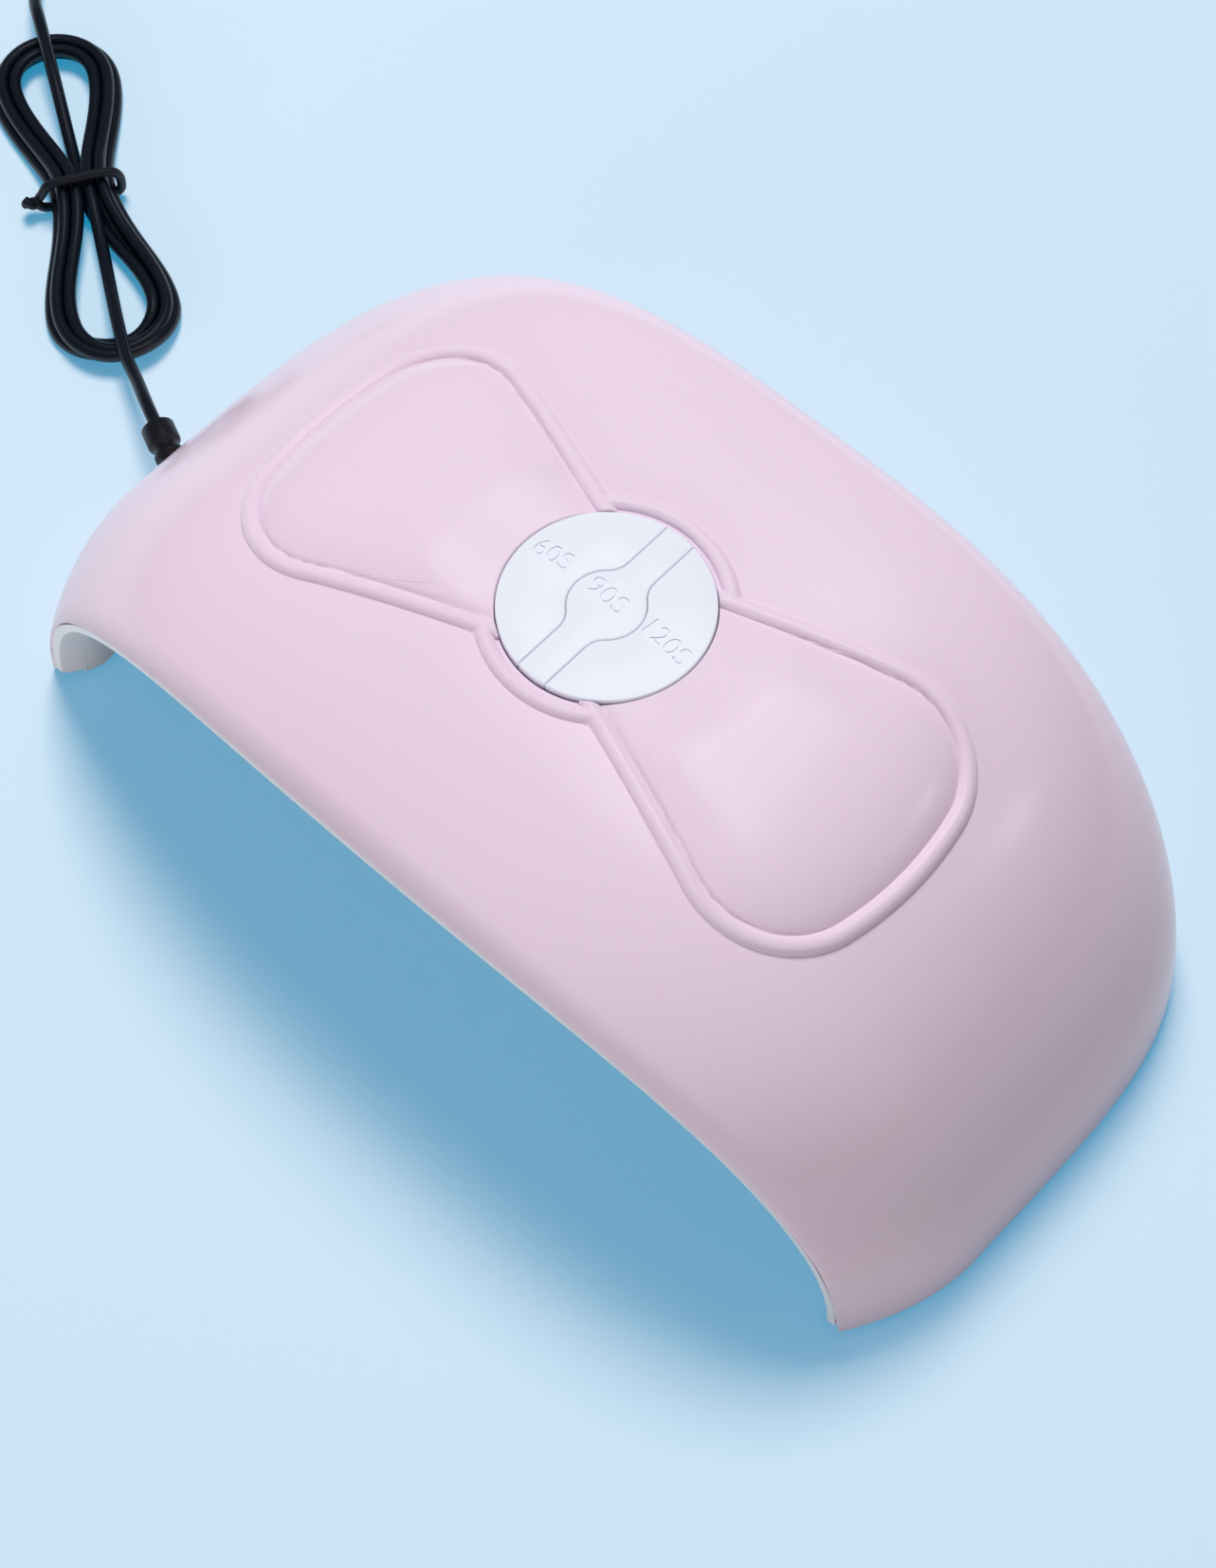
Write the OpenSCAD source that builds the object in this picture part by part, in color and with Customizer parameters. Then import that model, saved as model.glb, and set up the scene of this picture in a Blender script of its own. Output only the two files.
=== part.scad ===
// Arch-shaped nail lamp: a pink bridge-shaped shell over a white liner, three timer buttons
// in a round disc on top, lamp boards between the two skins, and a captive power lead.
// Frame: +X across the width, the hand goes in from -Y, +Z up, and the feet stand on z = 0.

/* [Shell] */
// Width across the feet
lamp_w = 220; // [190:1:264]
// Depth from the front lip to the back wall
lamp_d = 124; // [108:1:148]
// Height of the crown above the table
lamp_h = 74; // [66:1:88]
// Wall of the pink shell
shell_wall = 2.2; // [1.8:0.1:2.8]
// Radius of the roll along the front edge
roll_r = 3.6; // [3:0.1:4.5]
// How far the feet stand back from the middle of the front edge
foot_setback = 9; // [4:0.5:14]
// How far each side draws in between its widest place and the front line
front_taper = 16; // [8:0.5:20]
// Share of the height that the front lip falls below the crown
nose_fall = 0.157; // [0.05:0.01:0.25]

/* [Bow] */
// Reach of each bow wing from the middle of the disc
wing_reach = 70.8; // [60:0.5:74]
// Height of the piping that edges the bow
piping_h = 1.1; // [0.5:0.1:1.5]
// Height of the padded middle of a wing
puff_h = 2.2; // [1:0.1:3]

/* [Buttons] */
// Radius of the round disc that the three buttons make
disc_r = 19.2; // [17:0.1:20]
// Gap round the disc
disc_gap = 0.3; // [0.2:0.05:0.5]
// Width of the middle button's straight part
band_w = 6; // [5:0.5:8]
// Radius of the middle button's round part
bulge_r = 7; // [6:0.5:8]
// Radius of the fillets between them
band_fillet = 5; // [3:0.5:6]
// Slot between two buttons
button_gap = 0.4; // [0.3:0.05:0.6]
// How far the disc stands above the shell
button_proud = 0.8; // [0.5:0.1:1.5]
// Wall of a button
button_wall = 1.5; // [1.2:0.1:2]
// Travel of a button
button_travel = 0.5; // [0.3:0.05:0.6]

/* [Liner] */
// Gap from the shell's outside to the liner at the sides
liner_side = 10.5; // [10:0.5:13]
// Gap from the shell's outside to the liner at the crown
liner_top = 14.2; // [14:0.1:16]
// Wall of the liner
liner_wall = 1.8; // [1.5:0.1:2.2]
// Length over which the liner flares out to its front lip
flare_len = 12; // [8:1:16]
// Clearance between the liner and the shell
liner_gap = 0.25; // [0.2:0.05:0.4]
// Thickness of the liner's foot flange
flange_t = 3; // [2.8:0.1:4]
// Thickness of the rubber pads under the feet
pad_t = 1; // [0.8:0.1:1.5]
// Radius of the rubber pads
pad_r = 3.6; // [3:0.1:4]

/* [Lamp boards] */
// Length of a lamp board
strip_len = 50; // [46:1:54]
// Width of a lamp board
strip_w = 9; // [8:0.5:10]
// Thickness of a lamp board
strip_t = 1; // [0.8:0.1:1.2]
// Radius of a lamp
led_r = 2.5; // [2:0.1:2.8]
// Distance between lamps on a board
led_pitch = 16; // [14:0.5:17]
// Clearance round a lamp in its hole
led_gap = 0.15; // [0.1:0.05:0.3]

/* [Control board] */
// Length of the control board
board_w = 62; // [60:1:66]
// Depth of the control board
board_d = 34; // [32:1:38]
// Thickness of the control board
board_t = 1.6; // [1.2:0.1:1.8]
// Height of a switch body
switch_h = 3.5; // [3.1:0.1:4]
// Height of a switch's plunger above its body
plunger_h = 0.8; // [0.7:0.1:1]
// Radius of a switch's plunger
plunger_r = 1.75; // [1.5:0.05:2]

/* [Screws] */
// Radius of the housing screws' shank
screw_r = 1.25; // [1.1:0.05:1.4]
// Length of a housing screw under its head
screw_len = 8; // [6:1:9]
// Radius of a housing screw's head
head_r = 2.1; // [1.9:0.1:2.3]
// Height of a screw's head
head_h = 1.4; // [1.2:0.1:1.6]

/* [Power lead] */
// Diameter of the power lead
cord_d = 2.75; // [2.5:0.05:3]
// Height of the lead's outlet above the table
outlet_z = 12; // [10:1:14]
// Place of the outlet along the depth
outlet_y = -9.8; // [-14:0.2:-6]
// Angle of the outlet back from square to the side
outlet_angle = 24; // [10:1:30]
// Length of the strain relief outside the shell
relief_len = 13.2; // [12:0.2:16]

/* [Hidden] */
$fn = 48;

shell_colour = "#e2d1e5";
white = "#f2f3f8";
board_green = "#2f6b45";
black = "#17181d";
steel = "#b9bcc2";

// Plan and arch of the outside skin
half_w = lamp_w / 2;
front_y = -lamp_d / 2;
back_y = lamp_d / 2;
wide_back = 36;             // the body is widest this far behind the front line
crown_back = 55.7;          // the crown is highest this far behind it
wide_y = front_y + wide_back;
crown_y = front_y + crown_back;
foot_z = pad_t;
arch_h = lamp_h - foot_z;
plan_square = 4.35;         // exponent of the rounded back in plan
arch_square = 3.05;         // exponents of the arch across the width
arch_round = 1.89;
back_square = 14;           // exponents of the roll over the back
back_round = 2.29;
tail_fall = 0.014;
front_sweep = 2.64;

// Rise of the arch across the width: 1 at the middle, 0 at the feet
function arch(t) = pow(max(1 - pow(abs(t), arch_square), 0), 1 / arch_round);

// Height of the middle line at depth y, for a skin that lies top inside the outer one:
// it falls gently to the front lip and rolls over the back
function rise(y, top, back) =
    y < crown_y
    ? arch_h * (1 - nose_fall * pow((crown_y - y) / (crown_y - front_y), 3)) - top
    : let (u = (y - crown_y) / (back - crown_y))
      (arch_h - top) * (1 - tail_fall * u * u)
      * pow(max(1 - pow(u, back_square), 0), 1 / back_round);

// Half of the width at depth y, for a skin that lies side inside the outer one
function half_at(y, side) =
    y < wide_y
    ? half_w - side - front_taper * pow((wide_y - y) / (wide_y - front_y), 2)
    : (half_w - side)
      * pow(max(1 - pow((y - wide_y) / (back_y - side - wide_y), plan_square), 0), 1 / plan_square);

// Depth of a skin's front edge across the arch
function edge_y(t) = front_y + foot_setback * pow(abs(t), front_sweep);

// Drop of a quarter-round roll, s behind its edge
function roll_drop(s, r) = s < r ? r - sqrt(max(r * r - (r - s) * (r - s), 0)) : 0;

// A point of a skin: t across the arch, y along the depth, side and top inside the outer skin
function skin_at(t, y, side, top, roll = 0) = [
    t * half_at(y, side),
    y,
    foot_z + arch(t) * (rise(y, top, back_y - side) - roll)
];

// Place across the arch of height z on the skin that lies side and top inside
function t_at_height(z, side, top) =
    pow(1 - pow((z - foot_z) / (arch_h - top), arch_round), 1 / arch_square);

// Grid of the skins: columns across the arch, rows from the front edge to the back
columns = 44;
roll_rows = 4;
back_rows = 18;
t_of = [for (j = [0:columns]) sin(-90 + 180 * j / columns)];

// Depths of the rows of one column: fine over the roll, and fine again at the back
function rows_of(t, start, roll, back) = let (y0 = edge_y(t) + start, y1 = y0 + roll) [
    for (i = [0:roll_rows - 1]) y0 + roll * (1 - cos(90 * i / roll_rows)),
    for (i = [0:back_rows - 1]) y1 + (back - y1) * sin(90 * i / back_rows)
];

row_count = roll_rows + back_rows;

// Outer and inner skins of the shell, as rows of points
function shell_skin(side, roll) = let (
    rows = [for (t = t_of) rows_of(t, side, roll, back_y - side)]
) [
    for (i = [0:row_count - 1]) [
        for (j = [0:columns])
            skin_at(t_of[j], rows[j][i], side, side,
                    roll_drop(rows[j][i] - edge_y(t_of[j]) - side, roll))
    ]
];

// The liner's inset at s behind its front edge: close to the shell at the lip, then deep
lip_side = shell_wall + liner_gap + 0.15;
lip_top = roll_r + liner_gap;
lip_start = 0.3;
liner_base = 1;             // the skins end this far up inside the foot flange
function flare(s) = pow(1 - min(s / flare_len, 1), 2);
function side_in(s, more) = liner_side + more + (lip_side - liner_side) * flare(s);
function top_in(s, more) = liner_top + more + (lip_top - liner_top) * flare(s);

function liner_at(t, y, side, top) = skin_at(t, y, side, top + liner_base) + [0, 0, liner_base];

function liner_skin(more) = let (
    rows = [for (t = t_of) rows_of(t, lip_start, flare_len, back_y - liner_side - more)]
) [
    for (i = [0:row_count - 1]) [
        for (j = [0:columns])
            let (s = rows[j][i] - edge_y(t_of[j]) - lip_start)
            liner_at(t_of[j], rows[j][i], side_in(s, more), top_in(s, more))
    ]
];

// Closed solid between two skins that both end in a point at the foot of the back wall
module two_skins(outer, inner, outer_tip, inner_tip) {
    w = columns + 1;
    n = row_count * w;
    function a(i, j) = i * w + j;
    function b(i, j) = n + 1 + i * w + j;
    last = row_count - 1;
    tip_a = n;
    tip_b = 2 * n + 1;
    polyhedron(
        points = concat(
            [for (row = outer) each row], [outer_tip],
            [for (row = inner) each row], [inner_tip]
        ),
        faces = [
            for (i = [0:last - 1], j = [0:columns - 1]) each [
                [a(i, j), a(i + 1, j), a(i + 1, j + 1)], [a(i, j), a(i + 1, j + 1), a(i, j + 1)],
                [b(i, j), b(i + 1, j + 1), b(i + 1, j)], [b(i, j), b(i, j + 1), b(i + 1, j + 1)]
            ],
            for (j = [0:columns - 1]) each [
                [a(last, j), tip_a, a(last, j + 1)], [b(last, j), b(last, j + 1), tip_b],
                [a(0, j), a(0, j + 1), b(0, j + 1)], [a(0, j), b(0, j + 1), b(0, j)]
            ],
            for (i = [0:last - 1]) each [
                [a(i + 1, 0), a(i, 0), b(i, 0)], [a(i + 1, 0), b(i, 0), b(i + 1, 0)],
                [a(i, columns), a(i + 1, columns), b(i + 1, columns)],
                [a(i, columns), b(i + 1, columns), b(i, columns)]
            ],
            [tip_a, a(last, 0), b(last, 0)], [tip_a, b(last, 0), tip_b],
            [a(last, columns), tip_a, tip_b], [a(last, columns), tip_b, b(last, columns)]
        ],
        convexity = 6
    );
}

// Round tube of many short straight stretches along a route, with flat ends square to it
function unit(v) = v / norm(v);
function heading(p, i) =
    unit((i < len(p) - 1 ? unit(p[i + 1] - p[i]) : [0, 0, 0]) + (i > 0 ? unit(p[i] - p[i - 1]) : [0, 0, 0]));
function across(h) = unit(abs(h.z) > 0.9 ? cross(h, [1, 0, 0]) : cross(h, [0, 0, 1]));

module tube(route, r, sides = 8) {
    n = len(route);
    polyhedron(
        points = [
            for (i = [0:n - 1])
                let (h = heading(route, i), u = across(h), v = cross(h, u))
                for (k = [0:sides - 1])
                    route[i] + r * (cos(360 * k / sides) * u + sin(360 * k / sides) * v)
        ],
        faces = [
            [for (k = [0:sides - 1]) k],
            [for (k = [sides - 1:-1:0]) (n - 1) * sides + k],
            for (i = [0:n - 2], k = [0:sides - 1])
                let (a = i * sides + k, b = i * sides + (k + 1) % sides)
                each [[a, a + sides, b + sides], [a, b + sides, b]]
        ],
        convexity = 8
    );
}

// Heights of the stack under the button disc
disc_back = 2.5;            // the disc stands this far behind the crown
disc_y = crown_y + disc_back;
hole_r = disc_r + disc_gap;
seat_drop = 0.8;
seat_z = lamp_h - shell_wall - seat_drop;
seat_gap = 0.3;
rim_t = 1.2;
rim_r = hole_r + 1.5;
rim_z = seat_z - seat_gap - rim_t;
collar_r = hole_r + 3.5;
board_drop = 6.35;          // from the button seat down to the control board
board_top = seat_z - board_drop;
switch_gap = 0.05;
stem_z = board_top + switch_h + plunger_h + switch_gap;
stem_r = 1.9;
switch_x = [-12, 0, 12];

// The bow: each wing is edged by straight sides, two round corners and a bulged end
join_x = 12.15;
join_y = 16.7;
corner_x = wing_reach - 20.2;
corner_y = 10.85;
corner_r = 19.3;
wing_mid = [wing_reach - 28, 0];
join_r = norm([join_x, join_y]);
tangent = let (d = [corner_x - join_x, corner_y - join_y])
    atan2(d.y, d.x) + asin(corner_r / norm(d)) + 90;
end_x = (pow(wing_reach - corner_r, 2) - corner_x * corner_x - corner_y * corner_y)
    / (2 * (wing_reach - corner_r - corner_x));
end_r = wing_reach - end_x;
end_angle = atan2(corner_y, corner_x - end_x);
upper_corner = [for (i = [0:8]) let (a = end_angle + (tangent - end_angle) * i / 8)
    [corner_x + corner_r * cos(a), corner_y + corner_r * sin(a)]];
wing_outline = concat(
    [for (i = [-3:3]) [end_x + end_r * cos(end_angle * i / 4), end_r * sin(end_angle * i / 4)]],
    upper_corner,
    [for (i = [1:2]) upper_corner[8] + ([join_x, join_y] - upper_corner[8]) * i / 3],
    [for (i = [-4:4]) let (a = -atan2(join_y, join_x) * i / 4) [join_r * cos(a), join_r * sin(a)]],
    [for (i = [2:-1:1]) let (p = upper_corner[8] + ([join_x, join_y] - upper_corner[8]) * i / 3) [p.x, -p.y]],
    [for (i = [8:-1:0]) [upper_corner[i].x, -upper_corner[i].y]]
);

// Inset from the wing's edge as a share of the way to its middle, and the height there
wing_profile = [
    [0, -0.3], [0.04, piping_h], [0.1, piping_h], [0.16, 0.25 * puff_h],
    [0.4, 0.75 * puff_h], [0.7, 0.95 * puff_h]
];

function on_shell(p, h) = let (y = p.y + disc_y, t = p.x / half_at(y, 0))
    [p.x, y, skin_at(t, y, 0, 0).z + h];

// One padded wing, standing on the shell and sunk into its wall
module wing(side) {
    n = len(wing_outline);
    rings = [
        for (w = wing_profile) [
            for (p = wing_outline) let (q = p + (wing_mid - p) * w[0]) on_shell([side * q.x, q.y], w[1])
        ]
    ];
    count = len(rings);
    sunk = [for (p = wing_outline) on_shell([side * p.x, p.y], -0.6 * shell_wall)];
    middle = on_shell([side * wing_mid.x, 0], puff_h);
    base = on_shell([side * wing_mid.x, 0], -0.6 * shell_wall);
    polyhedron(
        points = concat([for (r = rings) each r], sunk, [middle, base]),
        faces = [
            for (i = [0:count - 2], k = [0:n - 1])
                let (a = i * n + k, b = i * n + (k + 1) % n)
                each side > 0 ? [[a, a + n, b + n], [a, b + n, b]] : [[a, b + n, a + n], [a, b, b + n]],
            for (k = [0:n - 1])
                let (
                    a = (count - 1) * n + k, b = (count - 1) * n + (k + 1) % n,
                    s = count * n + k, e = count * n + (k + 1) % n,
                    c = k, d = (k + 1) % n, top = (count + 1) * n, low = top + 1
                )
                each side > 0
                ? [[a, top, b], [s, e, low], [c, d, e], [c, e, s]]
                : [[a, b, top], [s, low, e], [c, e, d], [c, s, e]]
        ],
        convexity = 6
    );
}

// Screws that hold the liner to the shell: two down each side and two at the back
boss_in = 5.9;
boss_r = 2.8;
boss_top = foot_z + flange_t + screw_len;
side_screw_y = [-30, wide_y + 56];
back_screw_x = 40;
function back_at(x, side) = wide_y + (back_y - side - wide_y)
    * pow(1 - pow(x / (half_w - side), plan_square), 1 / plan_square);
housing_screw_places = concat(
    [for (y = side_screw_y, s = [-1, 1]) [s * half_at(y, boss_in), y, s > 0 ? 0 : 180]],
    [for (s = [-1, 1]) [s * back_screw_x, back_at(back_screw_x, boss_in), 90]]
);
head_floor = foot_z + head_h + 0.2;

module screw_boss() {
    translate([0, 0, foot_z + flange_t + 0.3]) {
        cylinder(r = boss_r, h = boss_top - foot_z - flange_t - 0.3);
        translate([0, -0.8, 0]) cube([boss_in - 1.9, 1.6, boss_top - foot_z - flange_t - 0.3]);
    }
}

// Posts under the crown that carry the control board
post_x = board_w / 2 - 4;
post_y = board_d / 2 - 3.5;
post_r = 2.6;
post_top = lamp_h - 0.6 * shell_wall;
post_places = [for (x = [-post_x, post_x], y = [-post_y, post_y]) [x, disc_y + y]];
board_screw_r = 1;
board_screw_len = 6;

// Outlet of the power lead in the left side
outlet = [-half_at(outlet_y, 0) * t_at_height(outlet_z, 0, 0), outlet_y, outlet_z];
outlet_dir = [-cos(outlet_angle), sin(outlet_angle), 0];
relief_neck = 2.5;
module at_outlet() translate(outlet) rotate([0, 0, 180 - outlet_angle]) rotate([0, 90, 0]) children();

module top_shell() color(shell_colour) difference() {
    union() {
        resize([0, 0, 0]) union() {
            two_skins(
                shell_skin(0, roll_r),
                shell_skin(shell_wall, roll_r - shell_wall),
                [0, back_y, foot_z],
                [0, back_y - shell_wall, foot_z]
            );
            wing(1);
            wing(-1);
            // Piping that follows the disc in front and behind
            translate([0, disc_y, lamp_h - 0.5])
                rotate_extrude($fn = 60) translate([join_r + 1.2, 0]) circle(r = 1.2, $fn = 12);
        }
        translate([0, disc_y, seat_z]) cylinder(r = collar_r, h = lamp_h - 0.45 * shell_wall - seat_z);
        for (p = post_places)
            translate([p.x, p.y, board_top]) cylinder(r = post_r, h = post_top - board_top);
        for (p = housing_screw_places) translate([p.x, p.y, 0]) rotate([0, 0, p[2]]) screw_boss();
    }
    translate([0, disc_y, seat_z - 1]) cylinder(r = hole_r, h = lamp_h);
    for (p = post_places)
        translate([p.x, p.y, board_top - 1]) cylinder(r = board_screw_r + 0.05, h = board_screw_len);
    for (p = housing_screw_places)
        translate([p.x, p.y, foot_z]) cylinder(r = screw_r + 0.05, h = screw_len + head_h + 0.8);
    at_outlet() translate([0, 0, -relief_in]) cylinder(r = relief_neck + 0.1, h = 2 * relief_in);
}

// Places of the lamp boards on the liner
strip_t_at = [-0.82, -0.54, -0.19, 0.19, 0.54, 0.82];
strip_y = crown_y - 2.6;
strip_seat = 0.8;
function strip_origin(i) = liner_at(strip_t_at[i], strip_y, liner_side, liner_top);
function strip_tilt(i) = let (
    p = liner_at(strip_t_at[i] - 0.005, strip_y, liner_side, liner_top),
    q = liner_at(strip_t_at[i] + 0.005, strip_y, liner_side, liner_top)
) atan2(p.z - q.z, q.x - p.x);
function from_strip(i, v) = let (o = strip_origin(i), a = strip_tilt(i))
    [o.x + v.x * cos(a) + v.z * sin(a), o.y + v.y, o.z - v.x * sin(a) + v.z * cos(a)];
module at_strip(i) translate(strip_origin(i)) rotate([0, strip_tilt(i), 0]) children();

peg_r = 1.2;
peg_y = strip_len / 2 - 2.2;
led_sink = 2;

// The foot flange: a flat U from the shell's inside to a small bead inside the liner
flange_out = shell_wall + liner_gap + 0.1;
flange_bead = 0.5;
flange_steps = back_rows;
flange_y0 = edge_y(1) + roll_r;
function flange_y(k, back) = flange_y0 + (back - flange_y0) * sin(90 * k / flange_steps);
function flange_in(y) = side_in(y - edge_y(1) - lip_start, liner_wall + flange_bead);
flange_half = concat(
    [for (k = [0:flange_steps]) let (y = flange_y(k, back_y - flange_out)) [half_at(y, flange_out), y]]
);
flange_inner = [
    for (k = [0:flange_steps])
        let (y = flange_y(k, back_y - liner_side - liner_wall - flange_bead)) [half_at(y, flange_in(y)), y]
];

module foot_flange() translate([0, 0, foot_z]) linear_extrude(flange_t) polygon(concat(
    flange_half,
    [for (k = [flange_steps - 1:-1:0]) [-flange_half[k].x, flange_half[k].y]],
    [for (k = [0:flange_steps]) [-flange_inner[k].x, flange_inner[k].y]],
    [for (k = [flange_steps - 1:-1:0]) flange_inner[k]]
));

module inner_liner() color(white) difference() {
    union() {
        resize([0, 0, 0]) union() {
            two_skins(
                liner_skin(0),
                liner_skin(liner_wall),
                [0, back_y - liner_side, foot_z + liner_base],
                [0, back_y - liner_side - liner_wall, foot_z + liner_base]
            );
            foot_flange();
        }
        for (i = [0:5]) at_strip(i) {
            for (k = [-1:1]) translate([0, k * led_pitch, -1.2])
                cylinder(r = led_r + led_gap + 1.2, h = strip_seat + 1.2);
            for (s = [-1, 1]) translate([0, s * peg_y, -1.2])
                cylinder(r = peg_r, h = strip_seat + strip_t + 1.9);
        }
    }
    for (i = [0:5]) at_strip(i) for (k = [-1:1])
        translate([0, k * led_pitch, -5]) cylinder(r = led_r + led_gap, h = 8);
    for (p = housing_screw_places) {
        translate([p.x, p.y, 0]) cylinder(r = screw_r + 0.25, h = 6);
        translate([p.x, p.y, -1]) cylinder(r = head_r + 0.2, h = head_floor + 1);
    }
}

// Plan of the middle button's edge, grown by g
module band_plan(g) {
    a = band_w / 2 + band_fillet;
    b = sqrt(pow(bulge_r + band_fillet, 2) - a * a);
    square([band_w + 2 * g, 2 * (disc_r + 4)], center = true);
    circle(r = bulge_r + g);
    difference() {
        square([2 * a * bulge_r / (bulge_r + band_fillet), 2 * b], center = true);
        for (x = [-a, a], y = [-b, b]) translate([x, y]) circle(r = band_fillet - g);
    }
}

// Plan of a side button of radius r, standing g off the middle button
module side_plan(r, g, side) difference() {
    intersection() {
        circle(r = r);
        translate([side * (r + 1), 0]) square(2 * (r + 1), center = true);
    }
    band_plan(g);
}

module middle_plan(r, g) intersection() {
    circle(r = r);
    band_plan(g);
}

// A hollow button with a rim under the shell's collar and a stem down to its switch
module button_body(x) translate([0, disc_y, 0]) {
    difference() {
        union() {
            translate([0, 0, rim_z]) linear_extrude(rim_t) children(1);
            translate([0, 0, rim_z]) linear_extrude(lamp_h + button_proud - rim_z) children(0);
        }
        translate([0, 0, rim_z - 1]) linear_extrude(lamp_h + button_proud - button_wall - rim_z + 1)
            children(2);
    }
    translate([x, 0, stem_z]) cylinder(r = stem_r, h = lamp_h + button_proud - button_wall / 2 - stem_z);
}

module button_60() color(white) button_body(switch_x[0]) {
    side_plan(disc_r, button_gap, -1);
    side_plan(rim_r, button_gap, -1);
    side_plan(disc_r - button_wall, button_gap + button_wall, -1);
}

module button_90() color(white) button_body(switch_x[1]) {
    middle_plan(disc_r, 0);
    middle_plan(rim_r, 0);
    middle_plan(disc_r - button_wall, -button_wall);
}

module button_120() color(white) button_body(switch_x[2]) {
    side_plan(disc_r, button_gap, 1);
    side_plan(rim_r, button_gap, 1);
    side_plan(disc_r - button_wall, button_gap + button_wall, 1);
}

module control_board() color(board_green) difference() {
    translate([-board_w / 2, disc_y - board_d / 2, board_top - board_t]) cube([board_w, board_d, board_t]);
    for (p = post_places)
        translate([p.x, p.y, board_top - board_t - 1]) cylinder(r = board_screw_r + 0.2, h = board_t + 2);
}

module switch_bodies() color(black) for (x = switch_x) translate([x, disc_y, board_top]) difference() {
    translate([-3, -3, 0]) cube([6, 6, switch_h]);
    translate([0, 0, switch_h - 1.8]) cylinder(r = plunger_r + 0.05, h = 3);
}

module plunger(x) color(white) translate([x, disc_y, board_top + switch_h - 1.2])
    cylinder(r = plunger_r, h = plunger_h + 1.2);
module plunger_60() plunger(switch_x[0]);
module plunger_90() plunger(switch_x[1]);
module plunger_120() plunger(switch_x[2]);

module controller_chip() color(black) translate([12, disc_y - 10.5, board_top]) {
    translate([-2.5, -2, 0.15]) cube([5, 4, 1.45]);
    for (k = [-1.5:1:1.5], s = [-1, 1])
        translate([k * 1.27 - 0.2, s > 0 ? 1.5 : -3, 0]) cube([0.4, 1.5, 0.6]);
}

module capacitor() color("#2b3346") translate([-15, disc_y + 10.5, board_top + 2])
    rotate([0, 90, 0]) cylinder(r = 2, h = 7);

board_part_places = [[-9, -9], [-5.5, -9], [-14, -11.5], [6, 9], [9.5, 9], [13, 9], [16, 4.5]];
module board_parts() color("#c8b48a") for (p = board_part_places)
    translate([p.x - 1, disc_y + p.y - 0.6, board_top]) cube([2, 1.2, 0.7]);

socket_x = board_w / 2 - 4.5;
module wire_sockets() color(white) for (s = [-1, 1]) translate([s * socket_x, disc_y, board_top])
    difference() {
        translate([-3, -3.7, 0]) cube([6, 7.4, 3.8]);
        translate([s * 1.5 - 2, -3, 0.8]) cube([4, 6, 2.2]);
    }

module board_screws() color(steel) for (p = post_places) translate([p.x, p.y, board_top - board_t]) {
    cylinder(r = board_screw_r, h = board_screw_len - 1);
    translate([0, 0, -head_h]) cylinder(r = 1.9, h = head_h);
}

module housing_screws() color(steel) for (p = housing_screw_places) translate([p.x, p.y, head_floor]) {
    cylinder(r = screw_r, h = screw_len);
    translate([0, 0, -head_h]) cylinder(r = head_r, h = head_h);
}

module led_board(i) color(board_green) at_strip(i) translate([0, 0, strip_seat]) difference() {
    translate([-strip_w / 2, -strip_len / 2, 0]) cube([strip_w, strip_len, strip_t]);
    for (s = [-1, 1]) translate([0, s * peg_y, -1]) cylinder(r = peg_r + 0.15, h = strip_t + 2);
}
module led_board_1() led_board(0);
module led_board_2() led_board(1);
module led_board_3() led_board(2);
module led_board_4() led_board(3);
module led_board_5() led_board(4);
module led_board_6() led_board(5);

module led_beads(i) color("#cfd0ee") at_strip(i) for (k = [-1:1]) translate([0, k * led_pitch, 0]) {
    translate([0, 0, -led_sink]) cylinder(r = led_r, h = led_sink + strip_seat);
    translate([0, 0, -led_sink]) sphere(r = led_r);
}
module led_beads_1() led_beads(0);
module led_beads_2() led_beads(1);
module led_beads_3() led_beads(2);
module led_beads_4() led_beads(3);
module led_beads_5() led_beads(4);
module led_beads_6() led_beads(5);

// Pairs of wires from one lamp board to the next, and from the control board to the fourth
wire_r = 0.5;
wire_y = -19;               // the bridges cross here, and the feed lands a little nearer the middle
feed_y = wire_y + 5.5;
wire_lift = strip_seat + strip_t + wire_r;
function bridge(i, dy) = let (mid = (strip_t_at[i] + strip_t_at[i + 1]) / 2, y = wire_y + dy) [
    from_strip(i, [2, y, wire_lift]),
    from_strip(i, [5, y, wire_lift + 0.2]),
    liner_at(mid, strip_y + y, liner_side, liner_top) + [mid * 2, 0, wire_lift + 0.9],
    from_strip(i + 1, [-5, y, wire_lift + 0.2]),
    from_strip(i + 1, [-2, y, wire_lift])
];
function feed(d) = let (x = socket_x + 3, z = board_top + 1.9, end = from_strip(3, [0, 0, wire_lift])) [
    [x, disc_y + d, z], [x + 3, disc_y - 2 + d, z - 0.6], [x + 5 + d, disc_y - 10, z - 2.8],
    [x + 3 + d, disc_y - 16, end.z + 0.6], [x - 2, strip_y + feed_y + 1 + d, end.z + 0.2],
    [end.x + 5.2, strip_y + feed_y + d, end.z], [end.x + 2.4, strip_y + feed_y + d, end.z]
];

module led_wires() color("#b33a3a") {
    for (i = [0, 1, 3, 4], d = [-0.8, 0.8]) tube(bridge(i, d), wire_r);
    for (d = [-0.8, 0.8]) tube(bridge(2, d), wire_r);
    for (d = [-0.8, 0.8]) tube(feed(d), wire_r);
}

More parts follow.
